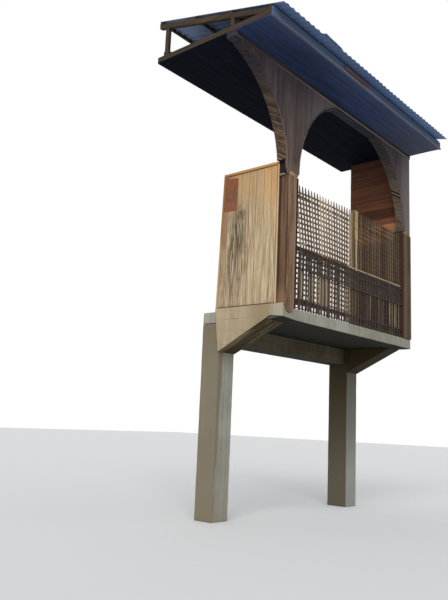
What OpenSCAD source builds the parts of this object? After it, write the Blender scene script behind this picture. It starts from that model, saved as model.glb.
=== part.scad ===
// Timber lattice balcony bay on a cast concrete frame, cut off at the wall
// X runs along the facade, Y into the wall, Z up. The origin is on the back face of
// the back beam, at the middle of its length and of its height.

/* [Concrete frame] */
// Height of the floor slab's underside over the ground
soffit_h = 2960; // [2400:20:3600]
// Length of the floor slab along the facade
slab_l = 4140; // [3600:20:5000]
// Thickness of the floor slab
slab_t = 180; // [120:10:260]
// How far the balcony stands out from the wall
balcony_d = 1200; // [900:20:1600]
// Width of a column and of the haunch over it
column_w = 380; // [300:10:600]
// Depth of a column, as far as the cut through the wall
column_d = 340; // [240:10:500]
// How far the right column stands out past the left one
column_out = 60; // [0:5:120]
// Depth of the back beam under the slab
beam_h = 300; // [200:10:400]
// Depth of a haunch where it leaves its column
haunch_h = 450; // [300:10:600]
// Distance from the slab's front edge to the point of a haunch
haunch_stop = 230; // [100:10:400]
// Thickness of the render on the left side of the slab and haunch
render_t = 20; // [12:1:40]
// Height of the kerb that the side panel stands on
kerb_h = 45; // [20:5:80]
// Width of that kerb
kerb_w = 100; // [80:5:140]

/* [Posts and top beam] */
// Width of the corner post
post_w = 240; // [160:5:300]
// Depth of both posts, with the boards of the spandrels on them
post_d = 170; // [140:5:240]
// Distance from the slab's left end to the corner post
post_inset = 20; // [0:5:35]
// Width of the right post
right_post_w = 195; // [140:5:260]
// Thickness of the boards on the front of the posts
face_t = 25; // [20:1:50]
// Width of the board on the corner post
corner_board_w = 205; // [120:5:300]
// Thickness of the spandrels and of the boards between them
spandrel_t = 25; // [18:1:40]
// How far the post boards lap down over the slab's edge
face_lap = 95; // [40:5:150]
// Depth of the top beam, along Y
top_beam_d = 140; // [100:5:180]
// Height of the top beam's front moulding
moulding_h = 75; // [50:5:120]
// Thickness of that moulding
moulding_t = 15; // [8:1:30]

/* [Arches] */
// Height of the springing over the floor
spring_h = 2060; // [1980:10:2300]
// Height of the flat head over the floor
head_h = 3585; // [3450:5:3700]
// Distance along X that an arch's side curve takes to reach the flat head
arch_run = 1140; // [900:10:1250]
// Thickness of an arch rib and of its jamb
rib_t = 45; // [30:1:60]
// How far the right jamb is packed out past the foot of its rib
jamb_pad = 75; // [0:5:120]
// Length of flat head kept on the cut arch at the left
stub_l = 150; // [60:10:300]
// Height of the block at the foot of a spandrel
foot_h = 60; // [40:5:90]

/* [Lattice] */
// Height of the left lattice panel over the floor
lattice_left_h = 1940; // [1800:10:1960]
// Height of the right lattice panel over the floor
lattice_right_h = 2000; // [1800:10:2020]
// How far the upright laths stand over the cross laths
tip_h = 55; // [10:5:80]
// Gap under the lattice
lattice_gap = 10; // [10:5:60]
// Width of an upright lath
lath_w = 34; // [24:1:44]
// Distance between upright laths
lath_pitch = 84.5; // [76:0.5:100]
// Thickness of the upright laths
lath_t = 10; // [8:1:16]
// Width of a cross lath
cross_w = 32; // [22:1:40]
// Thickness of the cross laths
cross_t = 8; // [6:1:12]
// Distance between cross laths
cross_pitch = 79; // [70:1:90]
// Distance from the front of the posts to the lattice
lattice_set = 54; // [48:1:72]
// Width of the upright between the two lattice panels
upright_w = 70; // [50:5:100]
// Height of a rail behind the lattice
rail_h = 60; // [40:5:80]
// Thickness of a rail behind the lattice
rail_t = 30; // [20:1:40]
// Height of the lowest of these rails over the floor
rail_low_h = 110; // [60:10:200]
// Distance between two of these rails
rail_pitch = 810; // [700:10:840]
// Number of these rails
rail_n = 3; // [2:1:3]

/* [Iron balustrade] */
// Height of the handrail over the floor
iron_h = 925; // [850:5:1000]
// Height of the gap under the balustrade
iron_gap = 20; // [20:5:80]
// Width of the handrail
handrail_w = 30; // [20:1:40]
// Thickness of the handrail and of the flat rails
iron_t = 12; // [8:1:16]
// Side of a square bar
bar_w = 12; // [8:1:16]
// Number of bars
bar_n = 33; // [24:1:40]
// Number of bars from one standing bar to the next
stand_step = 8; // [4:1:11]
// Height of the ring row under the handrail
ring_h = 78; // [60:2:100]
// Height of the scroll work under the ring row
scroll_h = 215; // [160:5:260]
// Height of the scroll work at the foot
foot_scroll_h = 150; // [100:5:200]
// Distance from the front of the posts to the middle of the bars
iron_set = 24; // [20:1:32]

/* [Side panel] */
// Height of the boarded panel on the left side
panel_h = 2130; // [1800:10:2300]
// Thickness of its boards
board_t = 20; // [15:1:30]
// Number of its boards
panel_board_n = 8; // [6:1:14]
// How far they lap over the side of the corner post
panel_lap = 25; // [0:5:60]
// How far the panel's foot reaches back past the face of the wall
panel_foot_past = 90; // [0:5:120]
// How far its top reaches back past the face of the wall
panel_top_past = 23; // [0:1:80]
// Gap between two boards
board_gap = 4; // [2:1:8]
// Height of its cap rail
cap_h = 40; // [30:1:60]
// How far the cap rail stands over the boards on each side
cap_over = 12; // [4:1:20]
// Height of the rails behind the boards
panel_rail_h = 90; // [60:5:120]
// Thickness of the rails behind the boards
panel_rail_t = 45; // [30:1:50]
// Number of these rails
panel_rail_n = 3; // [2:1:4]
// Width of the strips on the panel's two edges
edge_w = 32; // [20:1:50]
// Thickness of these strips
edge_t = 10; // [6:1:12]

/* [Right side wall] */
// Thickness of the boards on both faces
skin_t = 22; // [18:1:30]
// Width of a stud along the wall
stud_w = 80; // [60:5:110]
// Number of studs
stud_n = 4; // [3:1:6]

/* [Roof] */
// How far the eave stands out from the front of the balcony
eave_d = 610; // [450:10:800]
// How far the sheets stand out from the fascia
sheet_over = 165; // [100:5:250]
// Pitch of the roof
roof_pitch = 14; // [10:1:20]
// Thickness of the ceiling and eave boards
ceiling_t = 20; // [15:1:30]
// Depth of a ceiling joist
joist_h = 80; // [60:5:120]
// Width of a joist, rafter or strut
joist_w = 60; // [45:5:90]
// Number of joists and rafters
joist_n = 9; // [6:1:12]
// Depth of a rafter
rafter_h = 80; // [60:5:110]
// Height of a rafter's cut end over its joist
heel_h = 30; // [15:1:50]
// Height of the wall plate over the joists
plate_h = 60; // [40:5:90]
// Width of the wall plate
plate_w = 100; // [60:5:140]
// Distance from the cut through the wall to the wall plate
plate_set = 120; // [40:10:200]
// Distance from the front of the posts to the struts over the top beam
strut_set = 40; // [0:5:80]
// Height of a batten
batten_h = 32; // [24:1:50]
// Width of a batten
batten_w = 50; // [40:1:80]
// Number of battens
batten_n = 4; // [3:1:6]
// Thickness of the fascia
fascia_t = 25; // [18:1:35]
// How far the fascia hangs below the eave boards
fascia_drop = 10; // [4:1:25]
// Height of the strip along the fascia's foot
strip_h = 26; // [15:1:40]
// Thickness of that strip
strip_t = 14; // [8:1:25]
// Distance between two ribs of the roof sheets
sheet_pitch = 125; // [100:5:150]
// Height of the ribs of the roof sheets
sheet_rib = 24; // [16:1:32]
// Thickness of the modelled sheet
sheet_t = 5; // [4:1:8]
// Number of ribs on one sheet
sheet_rib_n = 11; // [6:1:14]
// Gap between two sheets
sheet_gap = 2; // [1:1:4]
// How far the roof sheets may stand past the right side wall
verge = 40; // [0:5:80]

/* [Loose pieces] */
// Length of the loose board on the fascia
loose_l = 760; // [500:10:1000]
// Height of the loose board on the fascia
loose_h = 56; // [40:2:60]
// Thickness of the loose board
loose_t = 18; // [10:1:25]
// Distance from the roof's left end to the loose board
loose_at = 1860; // [1500:10:2400]
// Tilt of the loose board, its left end up
loose_tilt = 2.5; // [0:0.5:3]
// Width of the flat sheet that lies loose on the roof's edge
flat_w = 500; // [300:10:700]
// Length of that sheet up the roof
flat_l = 620; // [400:10:900]
// Thickness of that sheet
flat_t = 4; // [3:1:6]
// Distance from the roof's left end to that sheet
flat_at = 975; // [700:10:1400]
// How far its left corner stands out past the other sheets
flat_over = 45; // [20:5:60]
// Turn of that sheet on the roof
flat_turn = 5; // [0:0.5:8]

/* [Hidden] */
$fn = 64;

// Heights, from the middle of the back beam
slab_z = beam_h / 2;
ground_z = slab_z - soffit_h;
floor_z = slab_z + slab_t;
panel_z = floor_z + kerb_h;
spring_z = floor_z + spring_h;
head_z = floor_z + head_h;
ceiling_z = head_z + moulding_h;
joist_z = ceiling_z + ceiling_t;
seat_z = joist_z + joist_h;

// Places along Y
wall_y = -column_d;
front_y = wall_y - balcony_d;
face_y = front_y - face_t;
frame_y = front_y + spandrel_t;
post_back_y = front_y + post_d;
right_column_y = wall_y - column_out;
eave_y = front_y - eave_d;
fascia_y = eave_y - fascia_t;

// Places along X
left_x = -slab_l / 2;
right_x = slab_l / 2;
post_x = left_x + post_inset;
post_right_x = post_x + post_w;
right_post_x = right_x - right_post_w;
cut_arch_x = post_x - rib_t;
arch_left_x = post_right_x + rib_t;
arch_right_x = right_post_x - rib_t;
bay_right_x = arch_right_x - jamb_pad;
roof_x = cut_arch_x - arch_run - stub_l;

// An arch's side curve rises straight up from the springing and meets the flat head
arch_rise = head_h - spring_h;
arch_r = (arch_run * arch_run + arch_rise * arch_rise) / (2 * arch_run);

// Boards and rails of the side panel, whose back edge leans
panel_y = post_back_y - panel_lap;
panel_foot_y = wall_y + panel_foot_past;
panel_top_y = wall_y + panel_top_past;
cap_z = panel_z + panel_h + cap_h;
panel_board_w = (panel_foot_y - panel_y - (panel_board_n - 1) * board_gap) / panel_board_n;
panel_rail_step = (panel_h - panel_rail_h) / (panel_rail_n - 1);

// Lattice and balustrade
lattice_y = front_y + lattice_set;
cross_y = lattice_y + lath_t;
rail_y = cross_y + cross_t;
lattice_left_z = floor_z + lattice_left_h;
lattice_right_z = floor_z + lattice_right_h;
iron_y = front_y + iron_set;
iron_top_z = floor_z + iron_h;
foot_rail_z = floor_z + iron_gap;
bar_step = (bay_right_x - arch_left_x) / (bar_n + 1);

// Roof slope
slope = tan(roof_pitch);
rafter_cut_h = rafter_h / cos(roof_pitch);
joist_step = (right_x - roof_x - joist_w) / (joist_n - 1);
batten_run = (-eave_y - batten_w) / (batten_n - 1);
sheet_y = fascia_y - sheet_over;
sheet_l = -sheet_y / cos(roof_pitch);
rib_n = floor((right_x + verge - roof_x) / sheet_pitch);

// Height of the rafters' upper edge at a place along Y
function rafter_top(y) = seat_z + heel_h + (y - eave_y) * slope;
function rafter_foot(y) = rafter_top(y) - rafter_cut_h;

// A block between two corners
module block(x0, x1, y0, y1, z0, z1) {
    translate([x0, y0, z0])
        cube([x1 - x0, y1 - y0, z1 - z0]);
}

// A plate of thickness t whose outline is drawn in Y and Z, from x on
module side_plate(x, t) {
    translate([x, 0, 0])
        rotate([90, 0, 90])
            linear_extrude(t)
                children();
}

// A plate of thickness t whose outline is drawn in X and Z, from y on
module front_plate(y, t) {
    translate([0, y + t, 0])
        rotate([90, 0, 0])
            linear_extrude(t)
                children();
}

// Lies on the roof slope, measured from the place on the rafters at y
module on_slope(y, lift) {
    translate([0, y, rafter_top(y)])
        rotate([roof_pitch, 0, 0])
            translate([0, 0, lift])
                children();
}

module left_column() {
    color("gainsboro")
        block(left_x, left_x + column_w, wall_y, 0, ground_z, slab_z);
}

module right_column() {
    color("gainsboro")
        block(right_x - column_w, right_x, right_column_y, 0, ground_z, slab_z);
}

module back_beam() {
    color("darkgray")
        block(left_x + column_w, right_x - column_w, wall_y, 0, slab_z - beam_h, slab_z);
}

// The outline of a haunch that leaves its column at y, in Y and Z
module haunch_outline(y) {
    polygon([
        [y, slab_z - haunch_h],
        [y, slab_z],
        [front_y + haunch_stop, slab_z]
    ]);
}

module left_haunch() {
    color("dimgray")
        side_plate(left_x, column_w)
            haunch_outline(wall_y);
}

module right_haunch() {
    color("dimgray")
        side_plate(right_x - column_w, column_w)
            haunch_outline(right_column_y);
}

module floor_slab() {
    color("silver")
        block(left_x, right_x, front_y, 0, slab_z, floor_z);
}

module side_render() {
    color("wheat")
        side_plate(left_x - render_t, render_t)
            polygon([
                [wall_y, slab_z - haunch_h],
                [panel_foot_y, panel_z],
                [front_y, panel_z],
                [front_y, slab_z],
                [front_y + haunch_stop, slab_z]
            ]);
}

module side_kerb() {
    color("wheat")
        block(left_x, left_x + kerb_w, post_back_y, panel_foot_y, floor_z, panel_z);
}

// A post between x0 and x1, which the spandrel is let into
module post(x0, x1) {
    block(x0, x1, frame_y, post_back_y, floor_z, head_z);
    block(x0, x1, front_y, frame_y, floor_z, spring_z - foot_h);
}

module corner_post() {
    color("sienna")
        post(post_x, post_right_x);
}

module corner_post_board() {
    color("peru")
        block(post_x, post_x + min(corner_board_w, post_w), face_y, front_y,
            floor_z - face_lap, spring_z - foot_h);
}

module right_post() {
    color("sienna")
        post(right_post_x, right_x);
}

module right_post_board() {
    color("tan")
        block(bay_right_x, right_x, face_y, front_y, floor_z, spring_z - foot_h);
}

module top_beam() {
    color("saddlebrown")
        block(roof_x, right_x, frame_y, frame_y + top_beam_d, head_z, joist_z);
}

module head_boards() {
    color("saddlebrown") {
        block(roof_x, cut_arch_x - arch_run, front_y, frame_y, head_z, ceiling_z);
        block(arch_left_x + arch_run, arch_right_x - arch_run, front_y, frame_y, head_z, ceiling_z);
    }
}

module head_moulding() {
    color("rosybrown")
        block(roof_x, right_x, front_y - moulding_t, front_y, head_z, ceiling_z);
}

// The circle of an arch's side curve about the springing, at x
module arch_circle(x, r) {
    translate([x, spring_z])
        circle(r, $fn = 128);
}

module middle_spandrel() {
    x0 = cut_arch_x - arch_run;
    x1 = arch_left_x + arch_run;
    color("saddlebrown")
        front_plate(front_y, spandrel_t)
            difference() {
                translate([x0, spring_z])
                    square([x1 - x0, ceiling_z - spring_z]);
                arch_circle(cut_arch_x - arch_r, arch_r);
                arch_circle(arch_left_x + arch_r, arch_r);
            }
}

module right_spandrel() {
    x0 = arch_right_x - arch_run;
    color("saddlebrown")
        front_plate(front_y, spandrel_t)
            difference() {
                translate([x0, spring_z])
                    square([right_x - x0, ceiling_z - spring_z]);
                arch_circle(arch_right_x - arch_r, arch_r);
            }
}

module spandrel_feet() {
    color("peru") {
        block(cut_arch_x, arch_left_x, front_y, frame_y, spring_z - foot_h, spring_z);
        block(arch_right_x, right_x, front_y, frame_y, spring_z - foot_h, spring_z);
    }
}

// A rib whose curve starts at x and runs to the side, 1 to the right and -1 to the left,
// from low_z up
module arch_rib(x, side, low_z) {
    front_plate(frame_y, post_d - spandrel_t)
        translate([x, 0])
            mirror([side < 0 ? 1 : 0, 0])
                intersection() {
                    difference() {
                        arch_circle(arch_r, arch_r + rib_t);
                        arch_circle(arch_r, arch_r);
                    }
                    translate([-rib_t, low_z])
                        square([arch_run + rib_t, head_z - low_z]);
                }
}

// The jamb under a full rib, between x0 and x1
module jamb(x0, x1) {
    block(x0, x1, frame_y, post_back_y, floor_z, spring_z);
    block(x0, x1, front_y, frame_y, floor_z, spring_z - foot_h);
}

// This rib ends over the side panel
module cut_arch_rib() {
    color("dimgray")
        arch_rib(cut_arch_x, -1, max(cap_z, spring_z));
}

module left_arch_rib() {
    color("dimgray") {
        arch_rib(arch_left_x, 1, spring_z);
        jamb(post_right_x, arch_left_x);
    }
}

module right_arch_rib() {
    color("dimgray") {
        arch_rib(arch_right_x, -1, spring_z);
        jamb(bay_right_x, right_post_x);
    }
}

// One lattice panel between x0 and x1 with its top at z1: upright laths with cross laths
// on their back
module lattice_panel(x0, x1, z1) {
    z0 = floor_z + lattice_gap;
    w = x1 - x0;
    h = z1 - z0;
    n = floor((w - lath_w) / lath_pitch);
    side = (w - lath_w - n * lath_pitch) / 2;
    top_row_z = z1 - tip_h - cross_w;
    rows = floor((top_row_z - z0) / cross_pitch);
    for (i = [0 : n])
        translate([x0 + side + i * lath_pitch, lattice_y, z0])
            cube([lath_w, lath_t, h]);
    for (i = [0 : rows])
        translate([x0 + side, cross_y, top_row_z - i * cross_pitch])
            cube([w - 2 * side, cross_t, cross_w]);
}

module lattice_left() {
    color("burlywood")
        lattice_panel(arch_left_x, -upright_w / 2, lattice_left_z);
}

module lattice_right() {
    color("burlywood")
        lattice_panel(upright_w / 2, bay_right_x, lattice_right_z);
}

module lattice_rails() {
    color("peru")
        for (i = [0 : rail_n - 1])
            translate([arch_left_x, rail_y, floor_z + rail_low_h + i * rail_pitch])
                cube([bay_right_x - arch_left_x, rail_t, rail_h]);
}

module lattice_upright() {
    color("goldenrod")
        block(-upright_w / 2, upright_w / 2, lattice_y, rail_y, floor_z, lattice_right_z);
}

// One flat iron rail between the jambs, with its top at z
module iron_rail(z, w) {
    translate([arch_left_x, iron_y - w / 2, z - iron_t])
        cube([bay_right_x - arch_left_x, w, iron_t]);
}

module iron_balustrade() {
    ring_z = iron_top_z - iron_t - ring_h;
    color("black") {
        iron_rail(iron_top_z, handrail_w);
        iron_rail(ring_z, bar_w);
        iron_rail(ring_z - scroll_h, bar_w);
        iron_rail(foot_rail_z + iron_t, bar_w);
        iron_rail(foot_rail_z + foot_scroll_h, bar_w);
        for (i = [1 : bar_n]) {
            z0 = (i - 1) % stand_step == 0 ? floor_z : foot_rail_z;
            translate([arch_left_x + i * bar_step - bar_w / 2, iron_y - bar_w / 2, z0])
                cube([bar_w, bar_w, iron_top_z - iron_t / 2 - z0]);
        }
    }
}

// The outline of the side panel in Y and Z, from y on and without inset at its back edge
module panel_outline(y, inset) {
    polygon([
        [y, panel_z],
        [y, panel_z + panel_h],
        [panel_top_y - inset, panel_z + panel_h],
        [panel_foot_y - inset, panel_z]
    ]);
}

module panel_boards() {
    color("tan")
        side_plate(left_x, board_t)
            intersection() {
                panel_outline(panel_y, 0);
                for (i = [0 : panel_board_n - 1])
                    translate([panel_y + i * (panel_board_w + board_gap), panel_z])
                        square([panel_board_w, panel_h]);
            }
}

module panel_rails() {
    color("peru")
        side_plate(left_x + board_t, panel_rail_t)
            intersection() {
                panel_outline(post_back_y, 0);
                for (i = [0 : panel_rail_n - 1])
                    translate([post_back_y, panel_z + i * panel_rail_step])
                        square([panel_foot_y - post_back_y, panel_rail_h]);
            }
}

module panel_cap() {
    color("tan")
        block(left_x - cap_over, left_x + board_t + panel_rail_t + cap_over,
            post_back_y, panel_top_y, cap_z - cap_h, cap_z);
}

module panel_edges() {
    color("chocolate")
        side_plate(left_x - edge_t, edge_t)
            difference() {
                panel_outline(panel_y, 0);
                panel_outline(panel_y + edge_w, edge_w);
            }
}

module side_wall_frame() {
    x0 = right_post_x + skin_t;
    x1 = right_x - skin_t;
    step = (wall_y - post_back_y - stud_w) / (stud_n - 1);
    color("peru") {
        block(x0, x1, post_back_y, wall_y, floor_z, floor_z + stud_w);
        block(x0, x1, post_back_y, wall_y, ceiling_z - stud_w, ceiling_z);
        for (i = [0 : stud_n - 1])
            block(x0, x1, post_back_y + i * step, post_back_y + i * step + stud_w,
                floor_z, ceiling_z);
    }
}

module side_wall_inside() {
    color("sienna")
        block(right_post_x, right_post_x + skin_t, post_back_y, wall_y, floor_z, ceiling_z);
}

module side_wall_outside() {
    color("sienna")
        block(right_x - skin_t, right_x, post_back_y, wall_y, floor_z, ceiling_z);
}

module ceiling_boards() {
    color("darkslategray")
        block(roof_x, right_x, frame_y + top_beam_d, 0, ceiling_z, joist_z);
}

module eave_boards() {
    color("darkslategray")
        block(roof_x, right_x, eave_y, frame_y, ceiling_z, joist_z);
}

module ceiling_joists() {
    color("peru")
        for (i = [0 : joist_n - 1])
            translate([roof_x + i * joist_step, eave_y, joist_z])
                cube([joist_w, -eave_y, joist_h]);
}

module wall_plate() {
    color("peru")
        block(roof_x, right_x, -plate_set - plate_w, -plate_set, seat_z, seat_z + plate_h);
}

// The outline of a strut from z0 up to the rafters, with its front at y
module strut_outline(y, z0) {
    polygon([
        [y, z0],
        [y + joist_w, z0],
        [y + joist_w, rafter_foot(y + joist_w)],
        [y, rafter_foot(y)]
    ]);
}

module roof_struts() {
    color("peru")
        for (i = [0 : joist_n - 1])
            side_plate(roof_x + i * joist_step, joist_w) {
                strut_outline(front_y + strut_set, seat_z);
                strut_outline(-plate_set - (plate_w + joist_w) / 2, seat_z + plate_h);
            }
}

module rafters() {
    notch_y = eave_y + (rafter_cut_h - heel_h) / slope;
    color("peru")
        for (i = [0 : joist_n - 1])
            side_plate(roof_x + i * joist_step, joist_w)
                polygon([
                    [eave_y, seat_z],
                    [notch_y, seat_z],
                    [0, rafter_foot(0)],
                    [0, rafter_top(0)],
                    [eave_y, rafter_top(eave_y)]
                ]);
}

module roof_battens() {
    color("burlywood")
        for (i = [0 : batten_n - 1])
            on_slope(eave_y + i * batten_run, 0)
                translate([roof_x, 0, 0])
                    cube([right_x - roof_x, batten_w, batten_h]);
}

module fascia() {
    color("darkslategray")
        block(roof_x, right_x, fascia_y, eave_y, ceiling_z - fascia_drop, rafter_top(eave_y));
}

module fascia_strip() {
    z = ceiling_z - fascia_drop;
    color("tan")
        block(roof_x, right_x, fascia_y - strip_t, fascia_y, z, z + strip_h);
}

module loose_fascia_board() {
    drop = loose_l * sin(loose_tilt);
    color("saddlebrown")
        front_plate(fascia_y - loose_t, loose_t)
            translate([roof_x + loose_at, ceiling_z - fascia_drop + strip_h + drop])
                rotate(-loose_tilt)
                    square([loose_l, loose_h]);
}

// The outline of one sheet of n ribs, in X and Z
module sheet_outline(n) {
    p = sheet_pitch;
    steps = [[0.1, 0], [0.5, 0], [0.64, 1], [0.96, 1]];
    top = [for (i = [0 : n - 1]) for (s = steps) [(i + s[0]) * p, s[1] * sheet_rib + sheet_t]];
    foot = [for (i = [1 : n]) for (s = [3 : -1 : 0])
        [(n - i + steps[s][0]) * p, steps[s][1] * sheet_rib]];
    polygon(concat(
        [[0, sheet_t]], top, [[n * p - sheet_gap, sheet_t], [n * p - sheet_gap, 0]],
        foot, [[0, 0]]
    ));
}

module roof_sheets() {
    color("slategray")
        on_slope(sheet_y, batten_h)
            for (i = [0 : sheet_rib_n : rib_n - 1])
                translate([roof_x + i * sheet_pitch, sheet_l, 0])
                    rotate([90, 0, 0])
                        linear_extrude(sheet_l)
                            sheet_outline(min(sheet_rib_n, rib_n - i));
}

module loose_roof_sheet() {
    color("gray")
        on_slope(sheet_y, batten_h + sheet_t + sheet_rib)
            translate([roof_x + flat_at, -flat_over, 0])
                rotate(flat_turn)
                    cube([flat_w, flat_l, flat_t]);
}

left_column();
right_column();
back_beam();
left_haunch();
right_haunch();
floor_slab();
side_render();
side_kerb();
corner_post();
corner_post_board();
right_post();
right_post_board();
top_beam();
head_boards();
head_moulding();
middle_spandrel();
right_spandrel();
spandrel_feet();
cut_arch_rib();
left_arch_rib();
right_arch_rib();
lattice_left();
lattice_right();
lattice_rails();
lattice_upright();
iron_balustrade();
panel_boards();
panel_rails();
panel_cap();
panel_edges();
side_wall_frame();
side_wall_inside();
side_wall_outside();
ceiling_boards();
eave_boards();
ceiling_joists();
wall_plate();
roof_struts();
rafters();
roof_battens();
fascia();
fascia_strip();
loose_fascia_board();
roof_sheets();
loose_roof_sheet();
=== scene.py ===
"""Timber lattice balcony bay on a concrete frame: finishes, boards, laths, ironwork and roof sheets."""
import math
from types import SimpleNamespace

import bmesh
import bpy
from mathutils import Matrix, Vector, noise


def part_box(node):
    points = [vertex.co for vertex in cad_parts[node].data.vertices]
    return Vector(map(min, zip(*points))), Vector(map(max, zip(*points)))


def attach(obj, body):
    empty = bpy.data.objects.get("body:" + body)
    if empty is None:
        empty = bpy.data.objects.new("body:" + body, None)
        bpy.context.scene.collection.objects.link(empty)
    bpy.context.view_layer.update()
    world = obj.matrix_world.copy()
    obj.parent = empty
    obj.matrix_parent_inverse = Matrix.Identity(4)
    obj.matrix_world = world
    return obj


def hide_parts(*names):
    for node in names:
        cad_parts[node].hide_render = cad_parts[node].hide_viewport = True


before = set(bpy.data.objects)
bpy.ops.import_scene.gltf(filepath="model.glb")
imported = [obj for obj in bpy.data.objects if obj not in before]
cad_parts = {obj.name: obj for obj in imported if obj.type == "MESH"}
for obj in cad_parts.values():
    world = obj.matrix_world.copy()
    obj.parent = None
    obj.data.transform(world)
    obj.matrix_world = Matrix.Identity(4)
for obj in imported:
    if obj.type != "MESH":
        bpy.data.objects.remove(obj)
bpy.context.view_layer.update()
scene = bpy.context.scene

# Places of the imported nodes, in metres
slab_low, slab_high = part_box("floor_slab")
post_low, post_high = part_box("corner_post")
right_low, right_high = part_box("right_post")
face_low, face_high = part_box("middle_spandrel")
panel_low, panel_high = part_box("panel_boards")
iron_low, iron_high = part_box("iron_balustrade")
sheets_low, sheets_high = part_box("roof_sheets")
pole_low, pole_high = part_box("lattice_upright")
board_right_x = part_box("corner_post_board")[1].x
ground_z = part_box("left_column")[0].z
spring_z = face_low.z

# The arches: where their jambs stand, and the circle of their side curves
rib_t = 0.045
cut_arch_x = post_low.x - rib_t
arch_left_x = post_high.x + rib_t
arch_right_x = right_low.x - rib_t
bay_right_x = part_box("lattice_rails")[1].x
arch_run = face_high.x - arch_left_x
arch_rise = post_high.z - spring_z
arch_r = (arch_run ** 2 + arch_rise ** 2) / (2 * arch_run)
arch_turn = math.asin(arch_rise / arch_r)
arch_curve = {"springing": spring_z, "radius": arch_r, "turn": arch_turn}


def tone(code):
    """A colour code as Blender's linear colour."""
    parts = [int(code[i:i + 2], 16) / 255 for i in (0, 2, 4)]
    return tuple(p / 12.92 if p <= 0.04045 else ((p + 0.055) / 1.055) ** 2.4 for p in parts) + (1.0,)


# Node trees written as expressions

def both_sides(operation):
    """Methods for one of Python's operators, with a Val on its left or on its right."""
    return (lambda self, other: self.graph.math(operation, self, other),
            lambda self, other: self.graph.math(operation, other, self))


class Val:
    """A node's output. Arithmetic on it adds Math nodes to its tree."""
    __add__, __radd__ = both_sides("ADD")
    __sub__, __rsub__ = both_sides("SUBTRACT")
    __mul__, __rmul__ = both_sides("MULTIPLY")
    __truediv__, __rtruediv__ = both_sides("DIVIDE")
    __pow__, __rpow__ = both_sides("POWER")
    __mod__, __rmod__ = both_sides("MODULO")

    def __init__(self, graph, socket):
        self.graph, self.socket = graph, socket

    def __neg__(self):
        return self * -1.0

    def __abs__(self):
        return self.graph.math("ABSOLUTE", self)

    def ramp(self, start, end):
        """0 at start, 1 at end and smooth between, also where end is the lower of the two."""
        return self.graph.node("ShaderNodeMapRange", {"Value": self, "From Min": start, "From Max": end},
                               interpolation_type="SMOOTHSTEP")

    def within(self, low, high, soft=0.004):
        """1 from low to high, 0 outside."""
        return self.ramp(low - soft, low + soft) * self.ramp(high + soft, high - soft)


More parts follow.
